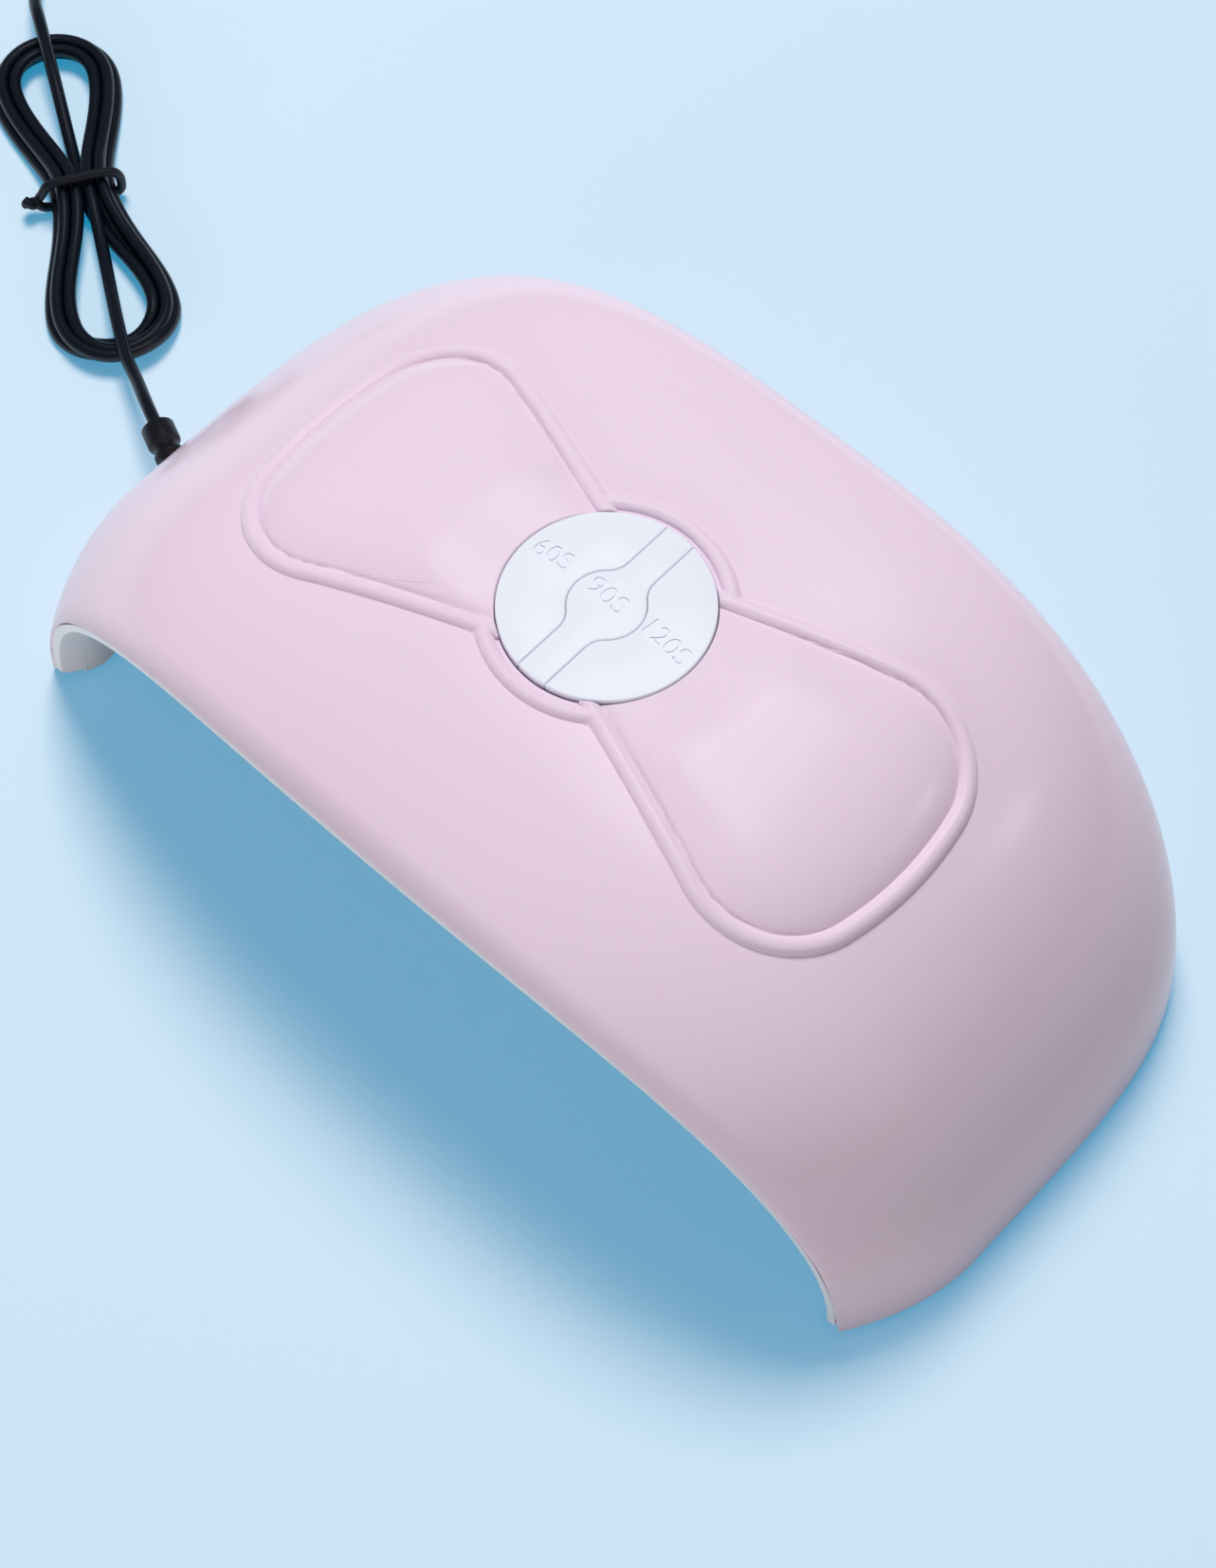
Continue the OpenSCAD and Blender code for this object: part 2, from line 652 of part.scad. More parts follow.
// Two wires from the strain relief up between the skins to the control board
wire_in = shell_wall + 1.6;
relief_flange = 1.2;
relief_in = 2 * shell_wall + relief_flange;
power_steps = 12;
function power_route(d) = let (
    from = outlet - outlet_dir * relief_in + d * [sin(outlet_angle), cos(outlet_angle), 0],
    z = board_top + 1.9,
    y0 = from.y - d,
    t0 = t_at_height(outlet_z + 10, wire_in, wire_in),
    t1 = 0.36
) concat(
    [from, from - 0.8 * outlet_dir, from - 1.8 * outlet_dir + [0, 0, 1.2]],
    [for (i = [0:power_steps]) let (t = t0 + (t1 - t0) * i / power_steps)
        let (p = skin_at(-t, y0 + (disc_y - y0) * i / power_steps + d, wire_in, wire_in)) p],
    [[-socket_x - 7, disc_y + d, z + 1.8], [-socket_x - 3, disc_y + d, z]]
);

module power_wires() color(black) for (d = [-0.75, 0.75]) tube(power_route(d), wire_r);

module foot_pad(p) color("#2a2a2e") translate([p.x, p.y, 0]) cylinder(r = pad_r, h = pad_t);
pad_in = 7.4;
pad_front_y = front_y + 20;
pad_back_y = back_y - 18;
module foot_pad_front_left() foot_pad([-half_at(pad_front_y, pad_in), pad_front_y]);
module foot_pad_front_right() foot_pad([half_at(pad_front_y, pad_in), pad_front_y]);
module foot_pad_back_left() foot_pad([-half_at(pad_back_y, pad_in), pad_back_y]);
module foot_pad_back_right() foot_pad([half_at(pad_back_y, pad_in), pad_back_y]);

// Ribbed relief: a flange inside the shell, two ribs and a wide collar where the lead leaves
rib_r = 3.1;
relief_collar = 3.4;
module strain_relief() color(black) at_outlet() rotate_extrude() polygon([
    [0, -relief_in], [3.8, -relief_in],
    [3.8, relief_flange - relief_in], [relief_neck, relief_flange - relief_in],
    [relief_neck, 1.8], [rib_r, 1.8], [rib_r, 3.2], [relief_neck, 3.2],
    [relief_neck, 4.6], [rib_r, 4.6], [rib_r, 6], [relief_neck, 6],
    [relief_neck, relief_len - 5.4], [relief_collar, relief_len - 4.8],
    [relief_collar, relief_len - 0.5], [relief_collar - 0.5, relief_len], [0, relief_len]
]);

// Route of the free lead: over the near end of the hank, and out of its far end to the plug
cord_r = cord_d / 2;
relief_tip = outlet + outlet_dir * relief_len;
hank_near = relief_tip + [-20.975, 10.431, -5];
hank_angle = 148;
hank_dir = [cos(hank_angle), sin(hank_angle), 0];
hank_len = 90;
hank_w = 28;
hank_waist = 17.2;
hank_h = 8.4;
hank_far = hank_near + hank_len * hank_dir;
lead_route = [
    relief_tip, relief_tip + 3 * outlet_dir, relief_tip + [-6.975, 3.231, -0.8],
    relief_tip + [-10.975, 5.431, -2.4], relief_tip + [-14.975, 7.431, -4],
    hank_near - 3 * hank_dir + [0, 0, 0.2], hank_near - 0.05 * hank_dir
];
plug_angle = 110;
plug_dir = [cos(plug_angle), sin(plug_angle), 0];
plug_start = hank_far + [-21.676, 28.307, -3];
tail_route = [
    hank_far, hank_far + 2 * hank_dir, hank_far + [-4.676, 2.807, -1.2],
    hank_far + [-9.676, 6.807, -3.4], hank_far + [-13.676, 11.307, -4.6],
    hank_far + [-16.676, 16.307, -4.4], plug_start - 6 * plug_dir + [0, 0, -0.5],
    plug_start - 2 * plug_dir, plug_start
];

module cord_lead() color(black) tube(lead_route, cord_r);
module cord_tail() color(black) tube(tail_route, cord_r);

module at_hank() translate([hank_near.x, hank_near.y, 0]) rotate([0, 0, hank_angle]) children();

tie_r = 1;
module cord_hank() color(black) at_hank() difference() {
    linear_extrude(hank_h) union() {
        for (x = [hank_w / 2, hank_len - hank_w / 2]) translate([x, 0]) circle(r = hank_w / 2);
        polygon([
            [hank_w / 2, -hank_w / 2], [hank_len / 2, -hank_waist / 2],
            [hank_len - hank_w / 2, -hank_w / 2], [hank_len - hank_w / 2, hank_w / 2],
            [hank_len / 2, hank_waist / 2], [hank_w / 2, hank_w / 2]
        ]);
    }
    translate([hank_len / 2 - 1.4, -hank_w, -1]) cube([2.8, 2 * hank_w, 2 * tie_r + 2]);
}

// A soft wire tie round the waist of the hank, its two ends twisted together at one side
tie_gap = 0.3;
tie_side = hank_waist / 2 + tie_r + tie_gap;
tie_top = hank_h + tie_r + tie_gap;
tie_route = [
    for (p = [
        [tie_side + 4.2, 2.2], [tie_side + 1.4, 1.7], [tie_side - 1.6, tie_r], [-tie_side + 2, tie_r],
        [-tie_side + 0.5, 1.7], [-tie_side, 3.2], [-tie_side, tie_top - 1.8], [-tie_side + 0.6, tie_top - 0.5],
        [-tie_side + 2, tie_top], [tie_side - 2, tie_top], [tie_side - 0.6, tie_top - 0.5],
        [tie_side, tie_top - 1.9], [tie_side + 0.3, 5.4], [tie_side + 1.6, 4.6], [tie_side + 4.2, 4.4]
    ]) [hank_len / 2, p[0], p[1]]
];
module cord_tie() color("#23242b") at_hank() tube(tie_route, tie_r);

// The plug: strain relief and overmould in one, metal shell, tongue and four contacts
plug_relief = 11;
mould_w = 16;
mould_h = 8;
mould_len = 24;
metal_w = 12;
metal_h = 4.5;
metal_len = 12;
module at_plug() translate(plug_start) rotate([0, 0, plug_angle]) rotate([0, 90, 0]) rotate([0, 0, 90])
    children();

// Bar along +Z with rounded long edges
module round_bar(w, h, l, r) {
    translate([-w / 2 + r, -h / 2, 0]) cube([w - 2 * r, h, l]);
    translate([-w / 2, -h / 2 + r, 0]) cube([w, h - 2 * r, l]);
    for (x = [-1, 1], y = [-1, 1])
        translate([x * (w / 2 - r), y * (h / 2 - r), 0]) cylinder(r = r, h = l);
}

module plug_body() color(black) at_plug() {
    cylinder(r1 = 2, r2 = 3.2, h = plug_relief);
    translate([0, 0, plug_relief]) round_bar(mould_w, mould_h, mould_len, 2);
}
module plug_shell() color(steel) at_plug() translate([0, 0, plug_relief + mould_len]) difference() {
    translate([-metal_w / 2, -metal_h / 2, 0]) cube([metal_w, metal_h, metal_len]);
    translate([-metal_w / 2 + 0.3, -metal_h / 2 + 0.3, -1]) cube([metal_w - 0.6, metal_h - 0.6, metal_len + 2]);
}
tongue_h = 1.9;
module plug_tongue() color(white) at_plug() translate([0, 0, plug_relief + mould_len])
    translate([-metal_w / 2 + 0.4, metal_h / 2 - 0.4 - tongue_h, 0])
        cube([metal_w - 0.8, tongue_h, metal_len - 0.6]);
module plug_contacts() color("#caa74a") at_plug() translate([0, 0, plug_relief + mould_len])
    for (x = [-3.5, -1, 1, 3.5]) translate([x - 0.5, metal_h / 2 - 0.4 - tongue_h - 0.2, 0.6])
        cube([1, 0.2, metal_len - 3]);

top_shell();
inner_liner();
button_60();
button_90();
button_120();
control_board();
switch_bodies();
plunger_60();
plunger_90();
plunger_120();
controller_chip();
capacitor();
board_parts();
wire_sockets();
board_screws();
led_board_1();
led_board_2();
led_board_3();
led_board_4();
led_board_5();
led_board_6();
led_beads_1();
led_beads_2();
led_beads_3();
led_beads_4();
led_beads_5();
led_beads_6();
led_wires();
power_wires();
housing_screws();
foot_pad_front_left();
foot_pad_front_right();
foot_pad_back_left();
foot_pad_back_right();
strain_relief();
cord_lead();
cord_hank();
cord_tie();
cord_tail();
plug_body();
plug_shell();
plug_tongue();
plug_contacts();
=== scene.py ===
import math

import bpy
import numpy as np
from mathutils import Matrix, Vector, kdtree


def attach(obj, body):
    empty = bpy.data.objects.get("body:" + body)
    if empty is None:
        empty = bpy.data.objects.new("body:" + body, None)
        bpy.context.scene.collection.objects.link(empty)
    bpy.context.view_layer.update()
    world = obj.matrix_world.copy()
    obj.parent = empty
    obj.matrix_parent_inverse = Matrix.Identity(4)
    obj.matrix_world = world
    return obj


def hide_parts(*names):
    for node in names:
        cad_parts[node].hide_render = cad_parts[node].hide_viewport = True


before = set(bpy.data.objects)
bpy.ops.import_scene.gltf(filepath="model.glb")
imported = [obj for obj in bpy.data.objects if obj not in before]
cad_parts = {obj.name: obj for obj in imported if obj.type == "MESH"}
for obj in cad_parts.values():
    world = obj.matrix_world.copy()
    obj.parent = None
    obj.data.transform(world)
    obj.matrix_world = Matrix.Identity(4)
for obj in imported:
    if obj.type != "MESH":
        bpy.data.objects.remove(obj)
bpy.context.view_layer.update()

MM = 0.001
bpy.ops.object.select_all(action="DESELECT")
bpy.context.scene.view_settings.view_transform = "Standard"

# ---------------------------------------------------------------- camera
# A long lens looks down on the lamp over its front right corner, from 0.67 m away, with no shift
# and no depth of field.
target = Vector((4.05, -7.84, 22.0)) * MM
distance = 674.8 * MM
azimuth, elevation = math.radians(42.68), math.radians(60.57)
forward = Vector((
    -math.sin(azimuth) * math.cos(elevation),
    math.cos(azimuth) * math.cos(elevation),
    -math.sin(elevation),
))
right = Vector((math.cos(azimuth), math.sin(azimuth), 0))
upward = right.cross(forward)
camera = bpy.data.objects.new("camera", bpy.data.cameras.new("camera"))
bpy.context.scene.collection.objects.link(camera)
camera.data.sensor_width = 36
camera.data.lens = 84.04
camera.data.clip_start = 0.01
camera.matrix_world = Matrix.Translation(target - forward * distance) @ Matrix((
    right, upward, -forward)).transposed().to_4x4()
bpy.context.scene.camera = camera

# ---------------------------------------------------------------- power lead
# 0.93 m of thin round two-core lead in extruded black PVC, soft and slightly glossy. It leaves
# the relief, passes over the near end of its own hank and runs nine times through the tie. The
# last run leaves over the far end and goes to the plug.


def linear(code):
    """A hex sRGB colour as linear RGBA."""
    values = [int(code[i:i + 2], 16) / 255 for i in (1, 3, 5)]
    return [v / 12.92 if v <= 0.04045 else ((v + 0.055) / 1.055) ** 2.4 for v in values] + [1]


def add_node(material, kind, links=None, **settings):
    """Adds a node. Settings are its properties or its inputs by name, links are input to socket."""
    node = material.node_tree.nodes.new("ShaderNode" + kind)
    for name, value in settings.items():
        if hasattr(node, name):
            setattr(node, name, value)
        else:
            node.inputs[name.replace("_", " ")].default_value = value
    for name, socket in (links or {}).items():
        material.node_tree.links.new(socket, node.inputs[name])
    return node


def new_material(name, **settings):
    """A node material and its principled shader, whose inputs are set by name."""
    material = bpy.data.materials.new(name)
    material.use_nodes = True
    shader = material.node_tree.nodes["Principled BSDF"]
    for socket, value in settings.items():
        shader.inputs[socket.replace("_", " ")].default_value = value
    return material, shader


def feed(shader, **sockets):
    """Links other nodes' outputs into a shader's inputs."""
    for name, socket in sockets.items():
        shader.id_data.links.new(socket, shader.inputs[name.replace("_", " ")])


cord_d = 2.75
outlet = np.array([-108.966, -9.8, 12.0])
outlet_angle = math.radians(24)
outlet_dir = np.array([-math.cos(outlet_angle), math.sin(outlet_angle), 0])
relief_len = 13.2
relief_tip = outlet + relief_len * outlet_dir
hank_near = np.array([-142.0, 6.0, 0.0])
hank_angle = math.radians(148)
hank_dir = np.array([math.cos(hank_angle), math.sin(hank_angle), 0])
hank_left = np.array([-math.sin(hank_angle), math.cos(hank_angle), 0])
hank_len = 90.0
tie_u = hank_len / 2
fold_in = 14.0                        # a fold's centre stands this far in from the hank's end
over_z = 7.0                          # height of the lead and the tail where they pass over a fold
low_z, high_z = 1.4, 3.8              # centre heights of the two layers
tie_lift, lift_reach = 2.1, 9         # the tie's wire passes under the strands
lead_down_from, lead_down = 5, 25     # where the lead comes down from over the fold
tail_up_from, tail_up = 6, 28         # where the tail climbs after the tie
last_tuck = 1.9                       # how far the last fold is drawn in
plug_start = np.array([-240.0, 82.0, 4.0])
plug_angle = math.radians(110)
plug_dir = np.array([math.cos(plug_angle), math.sin(plug_angle), 0])
# A row for each run: offset in the tie, offset at the ends, layer at the ends, layer in the tie
runs = [
    (-1.4, -8.5, high_z, high_z), (1.4, 8.5, high_z, high_z), (-4.2, -11.2, high_z, high_z),
    (4.2, 11.2, high_z, high_z), (-5.6, -12.6, low_z, low_z), (5.6, 12.6, low_z, low_z),
    (-2.8, -9.85, low_z, low_z), (2.8, 9.85, low_z, low_z), (0.0, -8.5, high_z, low_z),
]
last_run = len(runs) - 1


def ease(s):
    """0 to 1 with a soft start and a soft end, held outside."""
    s = np.clip(s, 0, 1)
    return s * s * (3 - 2 * s)


def in_hank(u, v, z):
    """A point u along the hank, v to its left and z above the table."""
    return hank_near + u * hank_dir + v * hank_left + np.array([0, 0, z])


def run_point(k, u):
    """Run k at u along the hank: pinched at the tie, fanned out towards the folds."""
    waist, wide, layer, tie_layer = runs[k]
    lift = tie_lift * math.exp(-((u - tie_u) / lift_reach) ** 2)
    if k == 0 and u < tie_u:
        height = over_z + (high_z - over_z) * ease((u - lead_down_from) / lead_down)
        return in_hank(u, waist * ease(u / tie_u), height + lift)
    if k == last_run and u > tie_u:
        height = low_z + (over_z - low_z) * ease((u - tie_u - tail_up_from) / tail_up)
        return in_hank(u, 0, height + lift)
    away = ease(abs(u - tie_u) / (tie_u - fold_in))
    height = tie_layer + (layer - tie_layer) * away
    return in_hank(u, waist + (wide - waist) * away, height + lift)


def fold(k, far):
    """Half turn from run k to run k + 1 round one end."""
    _, wide, z0, _ = runs[k]
    _, wide_next, z1, _ = runs[k + 1]
    r0, r1 = abs(wide), abs(wide_next)
    points = []
    for i in range(1, 16):
        s = i / 16
        squeeze, late = ease(s / 0.45), ease((s - 0.6) / 0.4)
        radius = r0 + (r1 - r0) * (ease(s / 0.5) if r1 > r0 or z0 == z1 else squeeze)
        if k == last_run - 1:
            radius = r0 - last_tuck * squeeze + (r1 - r0 + last_tuck) * late
        angle = math.pi * s
        centre = hank_len - fold_in if far else fold_in
        reach = radius * math.sin(angle) * (1 if far else -1)
        across = math.copysign(radius * math.cos(angle), wide * math.cos(angle))
        points.append(in_hank(centre + reach, across, z0 + (z1 - z0) * late))
    return points


route = [relief_tip, relief_tip + 3 * outlet_dir, np.array([-128, -1.2, 11.2]),
         np.array([-132, 1, 9.6]), np.array([-136, 3, 8])]
for k in range(len(runs)):
    outward = k % 2 == 0
    first = -2.0 if k == 0 else fold_in
    last = hank_len + 2 if k == last_run else hank_len - fold_in
    steps = np.linspace(first, last, 24) if outward else np.linspace(hank_len - fold_in, fold_in, 24)
    route += [run_point(k, u) for u in steps]
    if k < last_run:
        route += fold(k, outward)
route += [np.array(p) for p in ([-223, 56.5, 5.8], [-228, 60.5, 3.6], [-232, 65, 2.4], [-235, 70, 2.6])]
route += [plug_start - 6 * plug_dir - np.array([0, 0, 0.5]), plug_start - 2 * plug_dir,
          plug_start + 1.5 * plug_dir]


def smooth_route(points, spacing):
    """The same route rounded off at its corners, with points a fixed distance apart."""
    line = np.array(points)
    for _ in range(3):
        cut = [line[0]]
        for a, b in zip(line[:-1], line[1:]):
            cut += [0.75 * a + 0.25 * b, 0.25 * a + 0.75 * b]
        line = np.array(cut + [line[-1]])
        gone = np.r_[0, np.cumsum(np.linalg.norm(np.diff(line, axis=0), axis=1))]
        count = int(gone[-1] / spacing) + 1
        at = np.linspace(0, gone[-1], count)
        line = np.stack([np.interp(at, gone, line[:, axis]) for axis in range(3)], axis=1)
    return line


def round_strand(name, line, radius):
    """A curve of one open spline along a line, with a round section and closed ends."""
    curve = bpy.data.curves.new(name, "CURVE")
    curve.dimensions = "3D"
    curve.bevel_depth = radius * MM
    curve.bevel_resolution = 4
    curve.use_fill_caps = True
    spline = curve.splines.new("POLY")
    spline.points.add(len(line) - 1)
    for point, place in zip(spline.points, line):
        point.co = (*(place * MM), 1)
    spline.use_smooth = True
    made = bpy.data.objects.new(name, curve)
    bpy.context.scene.collection.objects.link(made)
    return made


cord_line = smooth_route(route, 1.4)
power_cord = round_strand("power_cord", cord_line, cord_d / 2)

# Soft PVC straight from the extruder: black with a slightly blue sheen and a faint orange peel
black_pvc, shader = new_material("extruded_soft_pvc", Base_Color=linear("#040d1b"), IOR=1.53)
place = add_node(black_pvc, "TexCoord")
peel = add_node(black_pvc, "TexNoise", {"Vector": place.outputs["Object"]}, Scale=900.0, Detail=2.0)
bump = add_node(black_pvc, "Bump", {"Height": peel.outputs["Fac"]}, Strength=0.12, Distance=0.0001)
wear = add_node(black_pvc, "MapRange", {"Value": peel.outputs["Fac"]}, To_Min=0.3, To_Max=0.42)
feed(shader, Normal=bump.outputs["Normal"], Roughness=wear.outputs["Result"])
power_cord.data.materials.append(black_pvc)
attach(power_cord, "lamp")
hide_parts("cord_lead", "cord_hank", "cord_tail")

# ---------------------------------------------------------------- floor and light
# A plain pale blue table top under one large soft panel, high up behind the lamp's left end. Weak
# cards in front and on the right lift the shade a little.
bpy.ops.mesh.primitive_plane_add(size=6, location=(0, 0, 0))
floor = bpy.context.active_object
floor.name = "floor"
floor_paper, shader = new_material("matt_table_top", Base_Color=linear("#d2c8c1"), Roughness=0.9,
                                   Specular_IOR_Level=0.0, Emission_Color=linear("#1188b0"))
# The blue of the paper shows to the camera and in gloss, and doesn't tint the lamp
path = add_node(floor_paper, "LightPath")
shown = add_node(floor_paper, "Math", operation="MAXIMUM")
floor_paper.node_tree.links.new(path.outputs["Is Camera Ray"], shown.inputs[0])
floor_paper.node_tree.links.new(path.outputs["Is Glossy Ray"], shown.inputs[1])
feed(shader, Emission_Strength=shown.outputs["Value"])
floor.data.materials.append(floor_paper)


def soft_light(name, place, aim, size, power, mirrored=False, shape="RECTANGLE"):
    """A white area light that looks at aim; a mirrored one also shows in gloss."""
    light = bpy.data.objects.new(name, bpy.data.lights.new(name, "AREA"))
    bpy.context.scene.collection.objects.link(light)
    light.data.shape = shape
    light.data.size, light.data.size_y = size
    light.data.energy = power
    light.visible_glossy = mirrored
    place, aim = Vector(place), Vector(aim)
    turn = (aim - place).to_track_quat("-Z", "Y").to_matrix().to_4x4()
    light.matrix_world = Matrix.Translation(place) @ turn


lamp_middle = (0, 0, 0.03)
soft_light("ceiling_panel", (-0.8, 0.74, 2.16), lamp_middle, (0.9, 0.9), 44.0)
soft_light("front_card", (0.15, -1.3, 0.34), lamp_middle, (0.9, 0.4), 5.2)
soft_light("right_card", (1.3, 0.2, 0.42), lamp_middle, (0.6, 0.4), 0.8)
# A broad soft sheen over the wings, and two small panes mirrored on the shell's right side
soft_light("overhead_glow", (-0.2, 0.42, 1.45), (0.035, -0.014, 0.075), (0.75, 0.75), 2.2, True, "ELLIPSE")
for name, place in (("pane_left", (0.855, 0.637, 0.73)), ("pane_right", (0.835, 0.67, 0.79))):
    soft_light(name, place, (0.075, 0.018, 0.06), (0.05, 0.07), 0.09, True)
world = bpy.data.worlds.new("studio")
bpy.context.scene.world = world
world.use_nodes = True
sky = world.node_tree.nodes["Background"]
sky.inputs["Color"].default_value = linear("#f2eef3")
sky.inputs["Strength"].default_value = 0.14

# ---------------------------------------------------------------- pink shell
# One moulded shell in gloss pale pink ABS: an arch over the hand with a rolled front lip, a
# half-round piping and two padded wings that make a bow, and a hole for the button disc.
half_w, front_y, back_y = 110.0, -62.0, 62.0
wide_y, crown_y = front_y + 36, front_y + 55.7
foot_z, arch_h = 1.0, 73.0
shell_wall, roll_r = 2.2, 3.6
foot_setback, front_taper, front_sweep = 9.0, 16.0, 2.64
nose_fall, tail_fall = 0.157, 0.014
plan_square, arch_square, arch_round = 4.35, 3.05, 1.89
back_square, back_round = 14.0, 2.29
disc_y, disc_r, hole_r, collar_r = -3.8, 19.2, 19.5, 23.0
seat_z = 71.0
rim_round = 0.4                       # radius of the softened rim at the hole
inset_hold, inset_power = 0.95, 6     # a skin's setback at the lip fades out towards the feet


def arch(t):
    """Height of the arch over the feet, t across the half width."""
    return np.clip(1 - np.abs(t) ** arch_square, 0, None) ** (1 / arch_round)


def rise(y, top, back):
    """Height of the middle line over the feet, top lower than the outer skin."""
    fore = arch_h * (1 - nose_fall * (np.clip(crown_y - y, 0, None) / (crown_y - front_y)) ** 3) - top
    u = np.clip((y - crown_y) / (back - crown_y), 0, 1)
    aft = (arch_h - top) * (1 - tail_fall * u * u) * (1 - u ** back_square) ** (1 / back_round)
    return np.where(y < crown_y, fore, aft)


def half_at(y, side):
    """Half of the width at depth y, side inside the outer skin."""
    fore = half_w - side - front_taper * (np.clip(wide_y - y, 0, None) / (wide_y - front_y)) ** 2
    v = np.clip((y - wide_y) / (back_y - side - wide_y), 0, 1)
    return np.where(y < wide_y, fore, (half_w - side) * (1 - v ** plan_square) ** (1 / plan_square))


def edge_y(t):
    """Depth of the front edge, which sweeps back towards the feet."""
    return front_y + foot_setback * np.abs(t) ** front_sweep


def roll_drop(s, r):
    """Fall of a quarter round of radius r, s in from its edge."""
    return np.where(s < r, r - np.sqrt(np.clip(r * r - (r - s) ** 2, 0, None)), 0)


def front_inset(t, inset):
    """How far a skin starts behind the outer one: flush at the feet, full at the crown."""
    return inset * (1 - inset_hold * np.abs(t) ** inset_power)


def skin_height(x, y, inset, roll):
    """Height over the feet of a skin that lies inset inside the outer one."""
    t = np.clip(np.abs(x) / np.maximum(half_at(y, inset), 1e-6), 0, 1)
    drop = roll_drop(y - edge_y(t) - front_inset(t, inset), roll)
    return arch(t) * (rise(y, inset, back_y - inset) - drop)


def reach_at(theta, phi, inset, roll):
    """How far a ray from the foot of the disc's axis goes before it meets a skin."""
    low, high = np.zeros(phi.shape), np.full(phi.shape, 220.0)
    for _ in range(halvings):
        mid = (low + high) / 2
        flat = mid * np.cos(phi)
        inside = mid * np.sin(phi) < skin_height(
            flat * np.cos(theta), disc_y + flat * np.sin(theta), inset, roll)
        low, high = np.where(inside, mid, low), np.where(inside, high, mid)
    return low


def front_phi(theta, inset, roll):
    """Angle of the front edge above the table for each column, and 0 where there is none."""
    t = np.sin(np.linspace(-math.pi / 2, math.pi / 2, 8001))
    y = edge_y(t) + front_inset(t, inset)
    x = t * half_at(y, inset)
    z = arch(t) * (rise(y, inset, back_y - inset) - roll)
    turned = np.arctan2(y - disc_y, x)
    found = np.interp(theta, turned, np.arctan2(z, np.hypot(x, y - disc_y)))
    return np.where((theta >= turned[0]) & (theta <= turned[-1]), found, 0)


# The bow's edge in one quarter, from the middle of a wing's end round to where it meets the ring: a
# wide arc over the end, a round corner and a straight side. It is mirrored for the other quarters.
wing_reach, join_x, join_y, bow_shift = 71.8, 9.8, 16.5, 1.3
corner_x, corner_y, corner_r = 51.4, 10.85, 19.3
ring_mid, ring_half = 21.85, 1.6
piping_h, piping_half, section_power = 1.2, 1.7, 0.75
puff_h, puff_reach, puff_power, puff_at_hole = 2.7, 15, 2.4, 0.33
ring_fade_from, ring_fade = 1.2, 1.6      # the ring dies out inside a wing's piping
free_reach = wing_reach - corner_r
end_x = (free_reach ** 2 - corner_x ** 2 - corner_y ** 2) / (2 * (free_reach - corner_x))
end_r = wing_reach - end_x
end_angle = math.atan2(corner_y, corner_x - end_x)
to_corner = (corner_x - join_x, corner_y - join_y)
tangent = math.atan2(to_corner[1], to_corner[0]) + math.asin(corner_r / math.hypot(*to_corner))
wide_arc = np.linspace(0, end_angle, 400)[:-1]
corner_arc = np.linspace(end_angle, tangent + math.pi / 2, 1500)
edge = np.concatenate([
    np.stack([end_x + end_r * np.cos(wide_arc), end_r * np.sin(wide_arc)], 1),
    np.stack([corner_x + corner_r * np.cos(corner_arc), corner_y + corner_r * np.sin(corner_arc)], 1),
])
straight = np.linspace(0, 1, 1500)[1:, None]
edge = np.concatenate([edge, edge[-1] * (1 - straight) + np.array([join_x, join_y]) * straight])
edge = np.concatenate([edge[:0:-1] * [1, -1], edge]) - [0, bow_shift]
edge_tree = kdtree.KDTree(len(edge))
for i, p in enumerate(edge):
    edge_tree.insert((p[0], p[1], 0), i)
edge_tree.balance()
edge_turn, edge_far = np.arctan2(edge[:, 1], edge[:, 0]), np.hypot(edge[:, 0], edge[:, 1])


def wing_edge(theta):
    """Radius of a wing's edge about the disc, 0 between the wings."""
    folded = np.arctan2(np.sin(theta), np.abs(np.cos(theta)))
    between = (folded > edge_turn[-1]) | (folded < edge_turn[0])
    return np.where(between, 0, np.interp(folded, edge_turn, edge_far))


def bow_height(x, y):
    """Height of piping and padding over the shell at plan places about the disc."""
    near = np.array([edge_tree.find((abs(p), q, 0))[2] for p, q in zip(x, y)])
    radius = np.hypot(x, y)
    inside = radius < wing_edge(np.arctan2(y, x))
    d = np.where(inside, near, -near)
    piping = piping_h * np.clip(1 - ((d - piping_half) / piping_half) ** 2, 0, None) ** section_power
    ring = piping_h * np.clip(1 - ((radius - ring_mid) / ring_half) ** 2, 0, None) ** section_power
    ring = np.where(d > ring_fade_from, ring * (1 - ease((d - ring_fade_from) / ring_fade)), ring)
    deep = np.clip((d - 2 * piping_half + 0.1) / puff_reach, 0, 1)
    puff = puff_h * (1 - (1 - deep) ** puff_power) ** section_power
    puff = puff * (puff_at_hole + (1 - puff_at_hole) * ease((radius - hole_r) / puff_reach))
    return np.maximum(np.maximum(piping, ring), puff)


# Columns stand evenly along the front lip, and by angle round the sides and the back
front_count, side_count, halvings = 361, 541, 44
corner_turn = math.atan2(edge_y(1) - disc_y, float(half_at(edge_y(1), 0)))
t = np.linspace(-1, 1, 20001)
lip = np.stack([t * half_at(edge_y(t), 0), edge_y(t), arch(t) * (rise(edge_y(t), 0, back_y) - roll_r)], 1)
gone = np.r_[0, np.cumsum(np.linalg.norm(np.diff(lip, axis=0), axis=1))]
lip_turn = np.arctan2(lip[:, 1] - disc_y, lip[:, 0])
front_columns = np.interp(np.linspace(0, gone[-1], front_count), gone, lip_turn)
side_columns = np.linspace(corner_turn, math.pi - corner_turn, side_count)[1:-1]
theta = np.concatenate([front_columns, side_columns])


